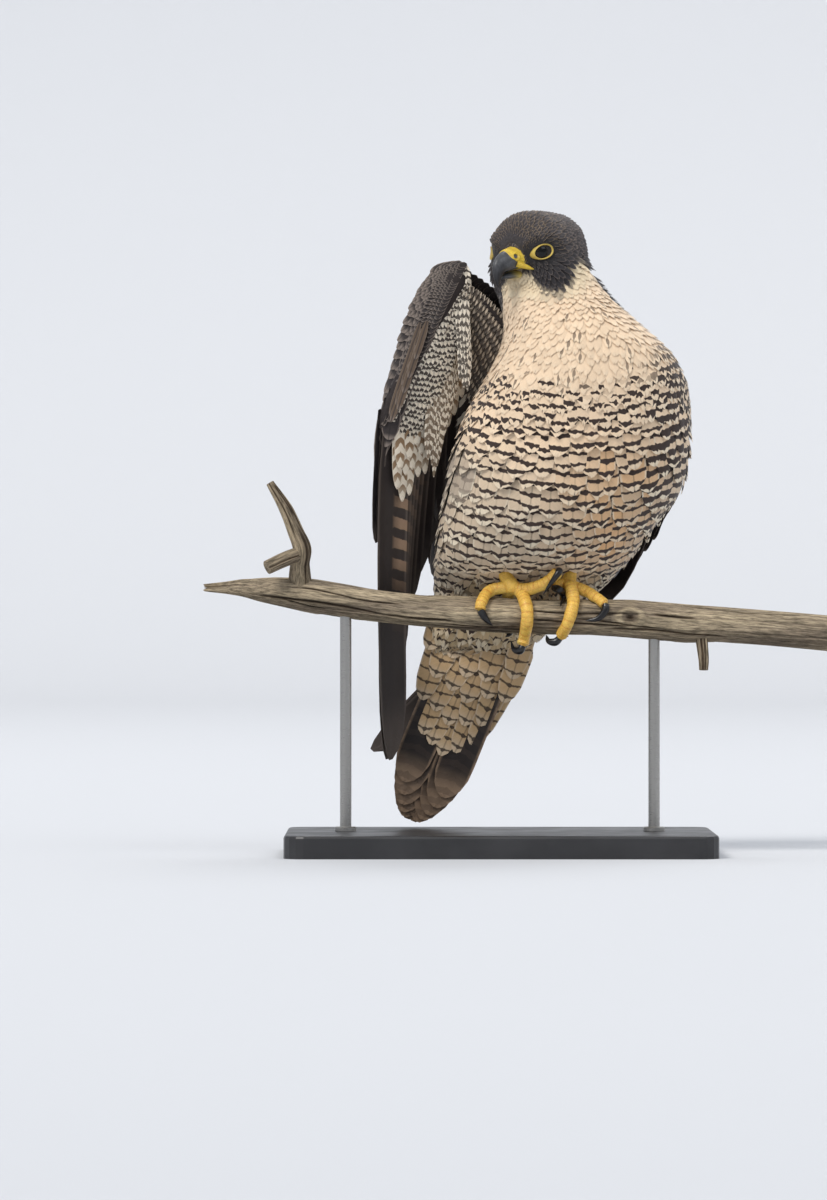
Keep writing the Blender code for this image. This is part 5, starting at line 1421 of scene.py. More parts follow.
def make_right_arm(wings, flight, small):
    """The arm of the raised wing: secondaries, coverts on both sides, axillars and the fold of skin in front."""
    tints = tints_of(wings)
    random = draws("right arm")
    count = 9
    share = np.arange(count) / (count - 1)
    root = mix(RIGHT_WRIST, RIGHT_ELBOW, (0.12 + 0.84 * share)[:, None]) + HAND_DORSAL * 2
    lean = np.radians(mix(29, 19, share))
    axis = unit(vectors(np.full(count, -0.16), np.sin(lean), -np.cos(lean)))
    tip = root + axis * (SECONDARY_LENGTH - SECONDARY_TAPER * share)[:, None] + HAND_DORSAL * 4
    across = unit(np.array((0.78, 0.62, 0)))
    long_feathers("right_secondaries", root, tip, face_of(axis, across), 12, flight_marks(wings, 0.3), random, flight,
        ("right_wing_arm",), skew=0.3, bow=3, tip_from=0.84)
    plate = arm_plate(RIGHT_SHOULDER, RIGHT_ELBOW, RIGHT_WRIST, 3, 2.4)
    put_grids("right_arm_skin", [plate], wing_skin_material(tints["covert"] * 1.1), DARK)

    facing = unit(np.cross(RIGHT_WRIST - RIGHT_SHOULDER, RIGHT_ELBOW - RIGHT_SHOULDER))
    facing = facing * -np.sign(facing[1])
    front = smooth_path((RIGHT_WRIST + (4, -4, 6), mix(RIGHT_WRIST, RIGHT_SHOULDER, 0.35) + (9, -4, 11),
        mix(RIGHT_WRIST, RIGHT_SHOULDER, 0.7) + (10, -4, 11), RIGHT_SHOULDER + (5, -6, 7)), 4)
    back = [RIGHT_WRIST + (-2, -1, -14), mix(RIGHT_WRIST, RIGHT_ELBOW, 0.4) + (2, -4, -4),
        mix(RIGHT_WRIST, RIGHT_ELBOW, 0.8) + (4, -6, -4), RIGHT_ELBOW + (12, -14, -2)]
    streaked = vane_marks(mix(tints["under_pale"], tints["under_brown"], 0.6), tints["under_dark"],
        tints["under_pale"], bars=0.85, duty=0.52, slant=1.8, pitch=6.6, shaft=0.9, edge=0.5)
    aims = (((-3, 2, -9), (-6, 2, -9), (-7, 2, -10), (-8, 2, -12)), ((-4, 4, -22), (-9, 5, -24), (-14, 5, -26),
        (-18, 5, -28)))
    faces = (np.broadcast_to(facing, (4, 3)),) * 2
    plant("right_under_arm", (front, back), aims, faces, (9, 24), (2.1, 0, 0.8), streaked, small, random, pale=True,
        lift=(5.4, 7.4), roll=-0.14, tip_from=0.5)
    upright = vane_marks(tints["under_pale"], tints["under_dark"], tints["under_pale"], bars=0.9, duty=0.42, slant=1,
        pitch=6, shaft=0.5, edge=0.5)
    line = ((-29, -19, 390), (-28, -16, 372), (-27, -12, 352))
    aims = (((-1, 4, -22),) * 3, ((-2, 5, -30),) * 3)
    plant("right_fold_feathers", (line, [np.asarray(point) + (6, 0, 0) for point in line]), aims,
        (((0.1, -1, 0.1),) * 3,) * 2, (3, 9), (1.9, 0, 0), upright, small, random, pale=True, lift=(1, 2.4),
        roll=-0.1, tip_from=0.55)

    chevron = vane_marks(tints["under_pale"] * 0.8, tints["under_dark"], tints["under_pale"], bars=1, duty=0.6,
        slant=1.3, pitch=13, shaft=0.2, edge=0.2)
    line = (mix(RIGHT_WRIST, RIGHT_ELBOW, 0.62) + (4, -9, -2), mix(RIGHT_WRIST, RIGHT_ELBOW, 0.85) + (4, -10, -2),
        RIGHT_ELBOW + (10, -15, 0))
    aims = (((-8, 14, -72), (-14, 16, -80), (-22, 16, -84)), ((-10, 16, -92), (-18, 18, -104), (-28, 18, -108)))
    faces = (((0.4, -0.9, 0),) * 3,) * 2
    plant("right_axillars", (line, [np.asarray(point) + (0, 3, -4) for point in line]), aims, faces, (3, 6),
        (5.6, 0, 0), chevron, small, random, pale=True, roll=-0.14, tip_from=0.7)

    dark = vane_marks(tints["covert"], tints["covert"] * 0.4, tints["covert_edge"], shaft=0.5, edge=0.7)
    dorsal = -facing
    top = [point + (0, 2, 1) for point in front]
    low = [mix(RIGHT_WRIST, RIGHT_ELBOW, share) + dorsal * 5 for share in (0.02, 0.35, 0.7, 1)]
    aims = (((-6, 9, -10), (-4, 9, -12), (-3, 9, -14), (-3, 9, -16)), ((-14, 26, -44), (-12, 26, -52), (-10, 24, -58),
        (-9, 20, -62)))
    faces = (((0.2, 0.3, 0.9),) * 4, np.broadcast_to(dorsal + (0, 0, 0.2), (4, 3)))
    plant("right_arm_coverts", (top, low), aims, faces, (7, 16), (4.6, 0, 2.6), dark, small, random, lift=(3, 6),
        tip_from=0.55)


def make_right_wing():
    """The lifted wing: hand and arm, with the two feather materials that they share."""
    wings = settings()[1]
    flight = feather_material("keratin vanes of flight feathers", 0.5, 0.35)
    small = feather_material("keratin vanes of wing coverts", 0.66, 0.4, 0.05)
    make_right_hand(wings, flight, small)
    make_right_arm(wings, flight, small)


def make_left_wing():
    """The folded wing: primaries and secondaries fanned from the bones, under their coverts.

    The aims run evenly from the first feather's to the last's, and each feather lies a layer further out.
    """
    wings = settings()[1]
    tints = tints_of(wings)
    flight = feather_material("keratin vanes of the folded wing", 0.5, 0.35)
    small = feather_material("keratin vanes of the folded wing's coverts", 0.66, 0.4, 0.05)
    random = draws("left wing")
    numbers, share = primaries()
    root = mix(LEFT_FINGER, LEFT_WRIST, (share * 0.94)[:, None])
    aim = unit(mix(LEFT_LONG_TIP, LEFT_SHORT_TIP, (share ** 0.9)[:, None]) - root)
    tip = root + aim * primary_lengths(numbers)[:, None]
    layer = 3 + 0.8 * (PRIMARIES - numbers)
    face = np.array((0.3, 0.95, 0.1))
    long_feathers("left_primaries", root, tip, face, 12, flight_marks(wings, 0.2), random, flight, ("left_wing",),
        skew=0.42, bow=4, tip_from=0.8, wrap=(layer, layer))
    count = 10
    share = np.arange(count) / (count - 1)
    root = mix(LEFT_WRIST, LEFT_ELBOW, (0.08 + 0.9 * share)[:, None])
    target = mix((76, 70, 172), (8, 96, 182), share[:, None])
    aim = unit(target - root)
    tip = root + aim * (SECONDARY_LENGTH - SECONDARY_TAPER * share)[:, None]
    layer = 10.5 + 0.5 * np.arange(count)
    long_feathers("left_secondaries", root, tip, face, 12, flight_marks(wings, 0.3), random, flight, skew=0.3, bow=3,
        tip_from=0.84, wrap=(layer, layer))

    dark = vane_marks(tints["covert"], tints["covert"] * 0.4, tints["covert_edge"], bars=0.35, duty=0.3, pitch=9,
        shaft=0.5, edge=0.8)
    first = ((94, 26, 352), (118, 34, 318), (124, 42, 284), (116, 56, 240))
    last = ((58, 62, 350), (72, 82, 305), (84, 82, 268), (92, 76, 236))
    aims = (((-6, 8, -16), (-4, 10, -18), (-4, 8, -20), (-8, 6, -22)), ((-16, 8, -44), (-16, 6, -52), (-18, 4, -58),
        (-26, 2, -60)))
    faces = (((0.9, 0.4, 0.2),) * 4, ((0.4, 0.9, 0.1),) * 4)
    plant("left_coverts", (first, last), aims, faces, (9, 20), (4.6, 0, 3.2), dark, small, random, stand=(3, 8, 9),
        rise=2.5, tip_from=0.55)
    first = ((90, 34, 352), (64, 60, 356), (40, 56, 354))
    last = ((78, 76, 300), (54, 84, 296), (34, 80, 292))
    aims = (((-6, 6, -30), (-5, 6, -32), (-4, 4, -32)), ((-12, 4, -62), (-10, 4, -66), (-8, 2, -62)))
    plant("left_scapulars", (first, last), aims, (((0.3, 0.95, 0.1),) * 3,) * 2, (5, 7), (7.5, 0, 2), dark, small,
        random, stand=(6, 0, 10), rise=1.5, tip_from=0.45)

    plumage = tints_of(settings()[0])
    flank = vane_marks(plumage["pale_edge"] * 0.9, plumage["bar"], plumage["pale_edge"], bars=1, duty=0.32,
        slant=-0.3, pitch=6.2, shaft=0.7, edge=0.3)
    first = ((118, -6, 312), (104, 2, 276), (92, 6, 250), (80, 8, 226))
    last = ((130, 20, 300), (113, 26, 264), (92, 28, 238), (78, 28, 216))
    aims = (((5, 4, -27), (3, 4, -29), (-3, 4, -30), (-8, 4, -28)), ((0, 4, -32), (-3, 4, -34), (-8, 4, -36),
        (-12, 4, -34)))
    plant("left_flank_feathers", (first, last), aims, (((0.55, -0.83, 0),) * 4,) * 2, (4, 11), (4.6, 0, 0), flank,
        small, random, pale=True, lift=(1, 4), roll=0.05, tip_from=0.5)


def make_tail():
    """The closed tail: six feathers a side, stacked from the middle, and the coverts over and under them.

    A feather is shorter than the middle one by the square of its place, in millimetres.
    """
    wings = settings()[1]
    tints = tints_of(wings)
    flight = feather_material("keratin vanes of the tail", 0.55, 0.35)
    small = feather_material("keratin vanes of the tail coverts", 0.7, 0.4, 0.05)
    random = draws("tail")
    down = unit(TAIL_TIP - TAIL_ROOT)
    aside = unit(np.array((1, 0, 0)) - down * down[0])
    behind = np.cross(down, aside)
    behind = behind * np.sign(behind[1])
    length = np.linalg.norm(TAIL_TIP - TAIL_ROOT)
    index = np.tile(np.arange(TAIL_SIDE), 2)
    side = np.repeat((-1, 1), TAIL_SIDE)
    layer = 5.5 - 2 * index - (side > 0)
    root = (TAIL_ROOT + aside * (side * (2 + 2.4 * index))[:, None] + behind * (layer * 0.8)[:, None] + down * 6)
    tip = (TAIL_ROOT + aside * (side * (2.5 + 2.5 * index))[:, None] + behind * layer[:, None] + down *
        (length - index ** 2)[:, None])
    barred = vane_marks(tints["tail"], tints["tail_bar"], tints["tail_tip"], bars=0.35, duty=0.42, slant=0.25,
        pitch=10.5, edge=0.4)
    marks = varied(barred, random, 2 * TAIL_SIDE)
    long_feathers("tail_feathers", root, tip, behind, 13, marks, random, flight, ("tail",), thick=0.4, camber=0.08,
        tip_from=0.8, full_from=0.15)

    def bank(name, spread, level, reach, width, counts, marks, way):
        """Tiers of coverts on one side of the tail, the shortest outermost."""
        line = [TAIL_ROOT + aside * place * spread + behind * (level - 1.5 * abs(place) * way) - down * 12 for place
            in (-1, 0, 1)]
        low = [point + down * 38 - behind * way * 2.5 for point in line]
        aims = ([down * (reach[0] - 8 * abs(place)) + aside * place * 5 for place in (-1, 0, 1)],
            [down * (reach[1] - 12 * abs(place)) - aside * place * spread * 0.35 for place in (-1, 0, 1)])
        faces = ([behind * way + aside * place * 0.35 for place in (-1, 0, 1)],) * 2
        plant(name, (line, low), aims, faces, counts, (width, 0, 0), marks, small, random, pale=way < 0,
            tip_from=0.62, lift=(-0.5, 2), roll=0.03, camber=0.06)

    anchor = vane_marks(tints["undertail"], tints["under_dark"], tints["under_pale"], bars=0.9, duty=0.2, slant=-0.2,
        pitch=8.6, shaft=0.4, edge=0.35)
    bank("undertail_coverts", 30, -8, (52, 72), 9.4, (4, 5), anchor, -1)
    slate = vane_marks(tints["upper_tail"], tints["upper_tail"] * 0.45, tints["covert_edge"], bars=0.8, duty=0.35,
        slant=0.1, pitch=9.5, shaft=0.4, edge=0.6)
    bank("uppertail_coverts", 24, 9, (46, 56), 8.5, (4, 6), slate, 1)


# ---- eyes

CORNEA_BULGE = 0.06              # height of the cornea, as a share of the eyeball's radius
EYE_EDGE = (39, 52)              # degrees from its axis between which an eyeball sinks below the ring
RIGHT_RING_SIZE = 0.84           # size of the right eye's ring, part hidden in fluffed feathers, to the left one's
PUPIL_EDGE = 25                  # degrees from the eye's axis
IRIS_EDGE = 40                   # the same for the iris
RING_TILT = math.radians(12)     # how far the bare ring's rear end is raised
RING_INNER = (5.7, 4.3)          # half width and half height of the ring's opening
RING_THICK = 1.8                 # depth of the ring, in millimetres


def ring_frame(side):
    """Middle of the eyeball, the way it faces, and the tilted ring's rearward and upward directions."""
    middle, facing, sideways, upward = eye_place(side)
    middle = middle - facing * (FAR_EYE_SINK if side < 0 else 0)
    back = sideways * side
    rear = back * math.cos(RING_TILT) + upward * math.sin(RING_TILT)
    return middle, facing, rear, upward * math.cos(RING_TILT) - back * math.sin(RING_TILT)


def eye_material():
    """Wet cornea over a near-black iris: the iris colour is an attribute, the gloss is a clear coat."""
    material, tree, shader = new_material("moist cornea over a dark iris", Roughness=0.12, IOR=1.376,
        Specular_IOR_Level=0.15, Coat_Weight=0.45, Coat_Roughness=0.02)
    tree.links.new(add(tree, "Attribute", out="Color", attribute_name="ground"), shader.inputs["Base Color"])
    return material


def scaled_skin_material(name, scale_size, roughness=0.42):
    """Bare horny skin, soft and slightly waxy: fine scales as bump and as painted shade in the seams between them,
    the tone blotched and warmer where darker; blood-warmed tone from below.
    """
    material, tree, shader = new_material(name, Roughness=roughness, Subsurface_Weight=0.12,
        Subsurface_Radius=(0.0016, 0.0008, 0.0003))
    ground = add(tree, "Attribute", out="Color", attribute_name="ground")
    place = add(tree, "TexCoord", out="Object")
    soft = {"interpolation_type": "SMOOTHSTEP"}
    scales = add(tree, "TexVoronoi", {"Vector": place, "Scale": 1000 / scale_size}, "Distance",
        feature="DISTANCE_TO_EDGE")
    plate = add(tree, "MapRange", (scales, 0.02, 0.16), **soft)
    blotch = add(tree, "TexNoise", {"Vector": place, "Scale": 260, "Detail": 4})
    # painted shade: the seams between scales are darkened to four fifths, and every darker tone is turned warmer
    tone = add(tree, "Math", (add(tree, "MapRange", (plate, 0, 1, 0.8, 1), **soft), add(tree, "MapRange",
        (blotch, 0.3, 0.7, 0.88, 1.06), **soft)), operation="MULTIPLY")
    tones = [tone] + [add(tree, "Math", (tone, power), operation="POWER") for power in (1.25, 1.5)]
    finish(tree, shader, ground, tones, plate, 0.4, 0.00025)
    return material


def make_eyeball(side, name, glass):
    """A ball whose radius grows in a bell round its axis and shrinks beyond the edge that the ring covers."""
    middle, facing, rear, rise = ring_frame(side)
    polar = np.radians(np.linspace(1, 179, 56))[:, None, None]
    turn = turns_of(64)[None, :, None]
    sunk = 0.12 * ease(*EYE_EDGE, np.degrees(polar))
    radius = EYE_RADIUS * (1 + CORNEA_BULGE * np.exp(-(polar / math.radians(30)) ** 2) - sunk)
    points = middle + radius * (facing * np.cos(polar) + (rear * np.cos(turn) + rise * np.sin(turn)) * np.sin(polar))
    angle = np.degrees(polar) + 0 * turn
    iris = ease(PUPIL_EDGE - 1.5, PUPIL_EDGE + 1.5, angle) * ease(IRIS_EDGE + 3, IRIS_EDGE - 3, angle)
    colour = mix(linear("#030303"), linear("#1C110B"), iris)
    put_grids("eye_ball_" + name, [points], glass, "eye", ("eye_" + name,), attributes={"ground": [colour]})


def make_eye_ring(side, name, tints, skin):
    """The bare ring: an oval band from the lid's rolled rim out to the feathers, closed behind."""
    middle, facing, rear, rise = ring_frame(side)
    turn = turns_of(84)
    share = np.array((0, 0.06, 0.14, 0.24, 0.36, 0.5, 0.64, 0.78, 0.9, 1))
    corner = 1 + 0.12 * np.maximum(-np.cos(turn), 0) ** 6 - 0.04 * np.maximum(np.cos(turn), 0) ** 6
    outer = vectors(LID_HALF[0] * np.cos(turn) * corner, LID_HALF[1] * np.sin(turn))
    inner = vectors(RING_INNER[0] * np.cos(turn), RING_INNER[1] * np.sin(turn))
    outer = outer * (1 if side > 0 else RIGHT_RING_SIZE)
    inner = inner * (1 if side > 0 else RIGHT_RING_SIZE)
    start = middle + outer[:, :1] * rear + outer[:, 1:] * rise
    low, _ = leave(lambda spots: body_distance(spots) < 0, start, facing, np.zeros(len(turn)), np.full(len(turn), 16),
        20)
    rim_height = np.sqrt(EYE_RADIUS ** 2 - (inner ** 2).sum(axis=1)) * (1 + 0.3 * CORNEA_BULGE) + 0.35
    flat = mix(inner[:, None], outer[:, None], share[None, :, None])
    level = mix(rim_height[:, None], low[:, None], share ** 1.3)
    level = level + 0.55 * np.exp(-((share - 0.1) / 0.09) ** 2) + 0.75 * np.sin(math.pi * share) ** 1.5
    level = level + 0.07 * np.sin(share * 34)
    top = middle + flat[..., :1] * rear + flat[..., 1:] * rise + facing * level[..., None]
    under = top[:, ::-1] - facing * RING_THICK
    colour = np.broadcast_to(tints["eye_ring"], (len(turn), len(share), 3))
    shade = ease(0.13, 0.05, share)[None, :, None] + 0.35 * ease(0.8, 1, share)[None, :, None]
    colour = mix(colour, linear("#4A3A1C"), np.clip(shade, 0, 0.8))
    colour = np.concatenate([colour, colour[:, ::-1]], axis=1)
    put_grids("eye_ring_" + name, [np.concatenate([top, under], axis=1)], skin, "yellow_skin",
        attributes={"ground": [colour]}, close_rows=True)


def make_eyes():
    """Both eyeballs, each with its bare ring."""
    tints = tints_of(settings()[2])
    glass = eye_material()
    skin = scaled_skin_material("waxy skin of the eye ring", 0.7)
    for side, name in ((1, "left"), (-1, "right")):
        make_eyeball(side, name, glass)
        make_eye_ring(side, name, tints, skin)


# ---- bill and cere

# upper bill: (forward, up, half height, half width, lean) of rings, leaning over towards the hooked tip
UPPER_BILL = (
    (30.5, 1.4, 7.3, 9.6, 0), (36.5, 1.4, 7.3, 8.2, 0), (41.6, 0.9, 6.9, 6.3, 6), (45.5, -0.1, 6.3, 5.2, 20),
    (48.4, -1.9, 5.5, 4.2, 38), (50.6, -4.7, 4.4, 3.3, 56), (51.6, -8.4, 3.1, 2.4, 73),
    (51.7, -12.2, 1.7, 1.4, 86), (51.3, -15.2, 0.5, 0.4, 94),
)
LOWER_BILL = ((30, -9.8, 2.9, 7.6), (33.5, -9.6, 2.8, 6.8), (37, -9.4, 2.5, 5.9), (42, -9.4, 2, 4.4),
              (46, -9.6, 1.2, 2.2))
# front edge of the cere: (degrees round from the top, forward)
CERE_EDGE = ((0, 40.6), (30, 41.2), (60, 41.2), (80, 39.8), (100, 37.4), (120, 35.2), (150, 33.4),
             (180, 32.6))
CERE_BACK = 28.5                 # how far forward its rear edge lies
CERE_THICK = 0.75                # how far it stands off the bill
NOSTRIL = (37.2, 7.5, 3.7)       # forward, aside and up from the head's middle
CULMEN_RIDGE = 0.26              # how much narrower the bill is above than below
NOSTRIL_RADIUS = 1.7             # of its hollow, painted near-black as the shade inside the opening
GAPE = ((37, 7.4, -1.6), (34.4, 10, -3.3), (31.6, 12.9, -5.3), (29.4, 15.6, -7))


def bill_ring(rows, turn, thicker=0):
    """Places round the upper bill: an oval of the row's half sizes, leant over by its lean."""
    ahead, above, tall, wide, lean = (rows[..., k] for k in range(5))
    lean = np.radians(lean)
    aside = np.sign(np.sin(turn)) * np.abs(np.sin(turn)) ** 0.92 * (wide + thicker)
    aside = aside * (1 - CULMEN_RIDGE * np.cos(turn))
    up = np.sign(np.cos(turn)) * np.abs(np.cos(turn)) ** 0.92 * (tall + thicker)
    return head_point(ahead + up * np.sin(lean), aside, above + up * np.cos(lean))


def horn_material(name, roughness, coat):
    """Keratin sheath: slate blue to black, in fine growth lines, with the dull polish of use."""
    material, tree, shader = new_material(name, Roughness=roughness, IOR=1.54, Specular_IOR_Level=0.3,
        Coat_Weight=coat, Coat_Roughness=0.2)
    ground = add(tree, "Attribute", out="Color", attribute_name="ground")
    lines = add(tree, "TexNoise", {"Vector": add(tree, "TexCoord", out="Object"), "Scale": 420, "Detail": 4,
        "Distortion": 0.6})
    tone = add(tree, "MapRange", (lines, 0.3, 0.7, 0.78, 1.12), interpolation_type="SMOOTHSTEP")
    finish(tree, shader, ground, (tone, tone, tone), lines, 0.25, 0.0002)
    return material


def make_bill():
    """Both horns of the bill, darker from base to tip and along the flanks.

    The tooth is a bell along the upper horn, times a bell round its cutting edge.
    """
    tints = tints_of(settings()[2])
    horn = horn_material("grown keratin sheath of the bill", 0.38, 0.1)
    share = np.linspace(0, 1, 72)
    turn = turns_of(64)
    rows = smooth_at(np.array(UPPER_BILL), share)[:, None, :]
    points = bill_ring(rows, turn[None])
    tomium = np.exp(-(np.abs(np.cos(turn[None] / 2)) / 0.35) ** 2)
    tooth = 0.9 * np.exp(-((share[:, None] - 0.72) / 0.035) ** 2) * tomium
    points = points - UPWARD * tooth[..., None]
    low = ease(0.2, -0.8, np.cos(turn))[None]
    flank = np.exp(-((np.abs(np.degrees(turn) - 180) - 85) / 32) ** 2)[None] * ease(0.3, 0.5, share)[:, None]
    black = np.clip(ease(0.45, 0.9, share)[:, None] + 0.5 * low * ease(0.25, 0.6, share)[:, None] + 0.6 * flank, 0, 1)
    streak = 0.06 * np.sin(turn[None] * 9 + 5 * share[:, None]) + 0.05 * np.sin(turn[None] * 23)
    colour = mix(tints["horn"], tints["horn_tip"], np.clip(black + streak, 0, 1)[..., None])
    put_grids("bill_upper_horn", [points], horn, "bill_horn", ("bill_upper",), attributes={"ground": [colour]})

    rows = smooth_at(np.array(LOWER_BILL), np.linspace(0, 1, 30))[:, None, :]
    rows = np.concatenate([rows, np.zeros((30, 1, 1))], axis=-1)
    points = bill_ring(rows, turn[None])
    yellow = ease(0.75, 0.2, np.linspace(0, 1, 30))[:, None, None]
    colour = mix(tints["horn"] * 0.8, tints["horn_base"], yellow + 0 * turn[None, :, None])
    put_grids("bill_lower_horn", [points], horn, "bill_horn", ("bill_lower",), attributes={"ground": [colour]})


def make_cere():
    """The cere: a soft sheath over the bill's foot, its front edge slanting from the culmen to the gape."""
    tints = tints_of(settings()[2])
    turn = turns_of(144)
    around = np.degrees(np.minimum(turn, 2 * math.pi - turn))
    edge = np.interp(around, *np.array(CERE_EDGE).T)
    share = np.linspace(0, 1, 52)
    ahead = mix(CERE_BACK, edge[None], share[:, None])
    upper = np.array(UPPER_BILL)
    rows = np.stack([np.interp(ahead, upper[:, 0], upper[:, k]) for k in range(5)], axis=-1)
    rows[..., 0] = ahead
    thick = CERE_THICK * (1 - ease(0.86, 1, share))[:, None] + 0.5 * ease(0.6, 0, share)[:, None] - 0.12
    points = bill_ring(rows, turn[None], thick)
    colour = np.broadcast_to(tints["cere"], points.shape).copy()
    for side in (1, -1):
        away = np.linalg.norm(points - head_point(NOSTRIL[0], side * NOSTRIL[1], NOSTRIL[2]), axis=-1)
        swell = 0.85 * np.exp(-((away - 2.2) / 1.1) ** 2) - 2.6 * np.exp(-(away / NOSTRIL_RADIUS) ** 4)
        swell = swell + 0.7 * np.exp(-(away / 0.35) ** 2)
        points = points + LEFTWARD * (side * swell)[..., None]
        # painted shade: the nostril's hollow is coloured near-black
        colour = mix(colour, linear("#1A120A"), np.exp(-(away / (NOSTRIL_RADIUS * 1.05)) ** 6)[..., None])
    # painted shade: the cere's lower sides are darker and more orange, and near their rear edge mixed towards an
    # olive
    low = ease(60, 110, around)[None, :, None]
    colour = mix(colour, tints["cere"] * (0.82, 0.86, 0.7), 0.6 * low)
    colour = mix(colour, linear("#8C8F3C"), 0.4 * ease(0.5, 0.1, share)[:, None, None] * low)
    skin = scaled_skin_material("waxy skin of the cere", 0.9, 0.36)
    put_grids("cere_skin", [points], skin, "yellow_skin", ("cere",), attributes={"ground": [colour]})
    corners = []
    for side in (1, -1):
        path = smooth_path([head_point(ahead, side * aside, above) for ahead, aside, above in GAPE], 24)
        corners.append(tube_points(path, spread_values((3.4, 3, 2, 0.5), 24), 14, flat=0.7))
    colours = [np.broadcast_to(tints["cere"] * (0.9, 0.9, 0.8), corner.shape) for corner in corners]
    put_grids("gape_skin", corners, skin, "yellow_skin", attributes={"ground": colours})


# ---- feet

TOE_SCUTES = {"outer": 11, "middle": 19, "inner": 13, "hallux": 10}  # plates along each toe's back
TOE_PADS = (0.36, 0.64, 0.92)    # places of the pads, as shares of a toe's length
TOE_OFF, CLAW_OFF = 3.8, 3.2     # distance of a toe's and of a claw's middle line from the branch
CLAW_RADIUS = 2.7
CLAW_TAPER = (0.9, 1, 0.96, 0.84, 0.66, 0.42, 0.06)  # radius along a claw, as shares of CLAW_RADIUS


def on_perch(x, z, stand_off, side):
    """A point at x and z whose distance from the branch is stand_off, in front (-1) or behind (1)."""
    height = np.interp(x, BRANCH_STATIONS[:, 0], BRANCH_STATIONS[:, 1])
    reach = np.interp(x, BRANCH_STATIONS[:, 0], BRANCH_STATIONS[:, 2] / 2) + stand_off
    rise = z - height
    depth = math.sqrt(max(reach ** 2 - rise ** 2, 0))
    if rise < 0:
        depth = max(depth, LOWEST_REACH)
    return np.array([x, side * depth, z])


def toe_line(foot, name, stand_off):
    """The places of a toe or claw, with each missing depth taken from the branch."""
    side = 1 if name.startswith("hallux") else -1
    return [on_perch(x, z, stand_off, side) if depth is None else np.array([x, depth, z]) for x, depth,
        z in foot[name]]


def toe_grid(path, radii, scutes, rows=110, around=30):
    """A toe: rings whose radius rises on each plate of the back and swells on the pads below.

    The back of a toe is the side away from the branch's middle line.
    """
    line = smooth_path(path, rows)
    tangent = unit(np.gradient(line, axis=0))
    height = np.interp(line[:, 0], BRANCH_STATIONS[:, 0], BRANCH_STATIONS[:, 1])
    away = line - vectors(line[:, 0], np.zeros(rows), height)
    back = unit(away - tangent * (away * tangent).sum(axis=1, keepdims=True))
    side = np.cross(tangent, back)
    share = np.linspace(0, 1, rows)
    angle = turns_of(around)
    upper = ease(-0.35, 0.45, np.cos(angle))[None]
    under = 1 - upper
    plate = (np.abs(np.sin(math.pi * scutes * (share + 0.02 * np.sin(share * 21)))) ** 0.35)[:, None]
    pads = sum(np.exp(-((share - place) / 0.085) ** 2) for place in TOE_PADS)[:, None]
    size = np.interp(share, (0, 1), radii) * (1 - 0.4 * ease(0.95, 1, share))
    size = size[:, None] * (0.97 + 0.075 * plate * upper + 0.14 * pads * under - 0.03 * under)
    points = line[:, None] + (back[:, None] * np.cos(angle)[None, :, None] + side[:, None] *
        np.sin(angle)[None, :, None]) * size[..., None]
    return points, plate * upper, np.broadcast_to(under, size.shape)


def make_feet():
    """Shanks and toes as one skin a foot, and the claws.

    A toe is a tube over the branch, swollen at each scute, with painted shade in the grooves between scutes; a claw
    narrows by its taper and darkens early.
    """
    tints = tints_of(settings()[2])
    skin = scaled_skin_material("horny scaled skin of the toes", 1.1, 0.4)
    claw_horn = horn_material("polished keratin of the claws", 0.3, 0.25)
    for foot, side in ((RIGHT_FOOT, "right"), (LEFT_FOOT, "left")):
        sole = np.asarray(foot["sole"])
        ankle = np.asarray(foot["ankle"])
        shank = (ankle + (ankle - sole) * 0.5, ankle, mix(ankle, sole, 0.6), sole, sole - (0, 0, 4))
        grids, plates, unders = [], [], []
        lines = [(shank, None, 9)] + [([sole - (0, 0, 0.5)] + toe_line(foot, name, TOE_OFF), TOE_RADII[name],
            TOE_SCUTES[name]) for name in TOE_RADII]
        for line, radii, scutes in lines:
            if radii is None:
                path = smooth_path(line, 40)
                swell = lambda along, angle: 0.97 + 0.04 * np.abs(np.sin(9 * math.pi * along)) ** 0.4 + 0 * angle
                grids.append(tube_points(path, spread_values((4.2, 4.4, 5, 6.3, 4.4), 40), 30, swell))
                plates.append(np.ones((40, 30)))
                unders.append(np.zeros((40, 30)))
            else:
                points, plate, under = toe_grid(line, radii, scutes)
                grids.append(points)
                plates.append(plate)
                unders.append(under)
        # painted shade: the grooves between the scutes on a toe's back are darker and more orange than the scutes
        groove_shade = tints["toe"] * (0.78, 0.52, 0.4)
        colours = []
        for plate, under in zip(plates, unders):
            upper_colour = mix(groove_shade, tints["toe"], ease(0.25, 0.85, plate)[..., None])
            colours.append(mix(upper_colour, tints["toe_pale"], under[..., None]))
        put_grids(side + "_foot_skin", grids, skin, "yellow_skin", (side + "_leg",), attributes={"ground": colours},
            sharp_degrees=80)
        for name in TOE_RADII:
            toe = toe_line(foot, name, TOE_OFF)[-1]
            line = smooth_path([toe] + toe_line(foot, name + "_claw", CLAW_OFF), 44)
            swell = lambda along, angle: 1 - 0.12 * np.cos(2 * angle) * ease(0.1, 0.5, along)
            points = tube_points(line, CLAW_RADIUS * spread_values(CLAW_TAPER, 44), 24, swell)
            black = ease(0.15, 0.45, np.linspace(0, 1, 44))[:, None, None]
            colour = mix(tints["horn"] * 0.2, tints["horn_tip"] * 0.6, black)
            piece = "_".join((side, "claw", name))
            put_grids(piece + "_horn", [points], claw_horn, "claw_horn", (piece,), attributes={"ground":
                [colour + np.zeros(points.shape)]})


# ---- perch and stand

KNOT = (91, math.pi - 0.1)       # along the branch, and angle round it from +Y
KNOT_LONG = 1.35                 # how much longer than wide the knot is
KNOT_RADIUS = 12.5               # the branch's radius there
CRACKS = 44                      # in the branch
BRANCH_ROWS, BRANCH_AROUND = 640, 132


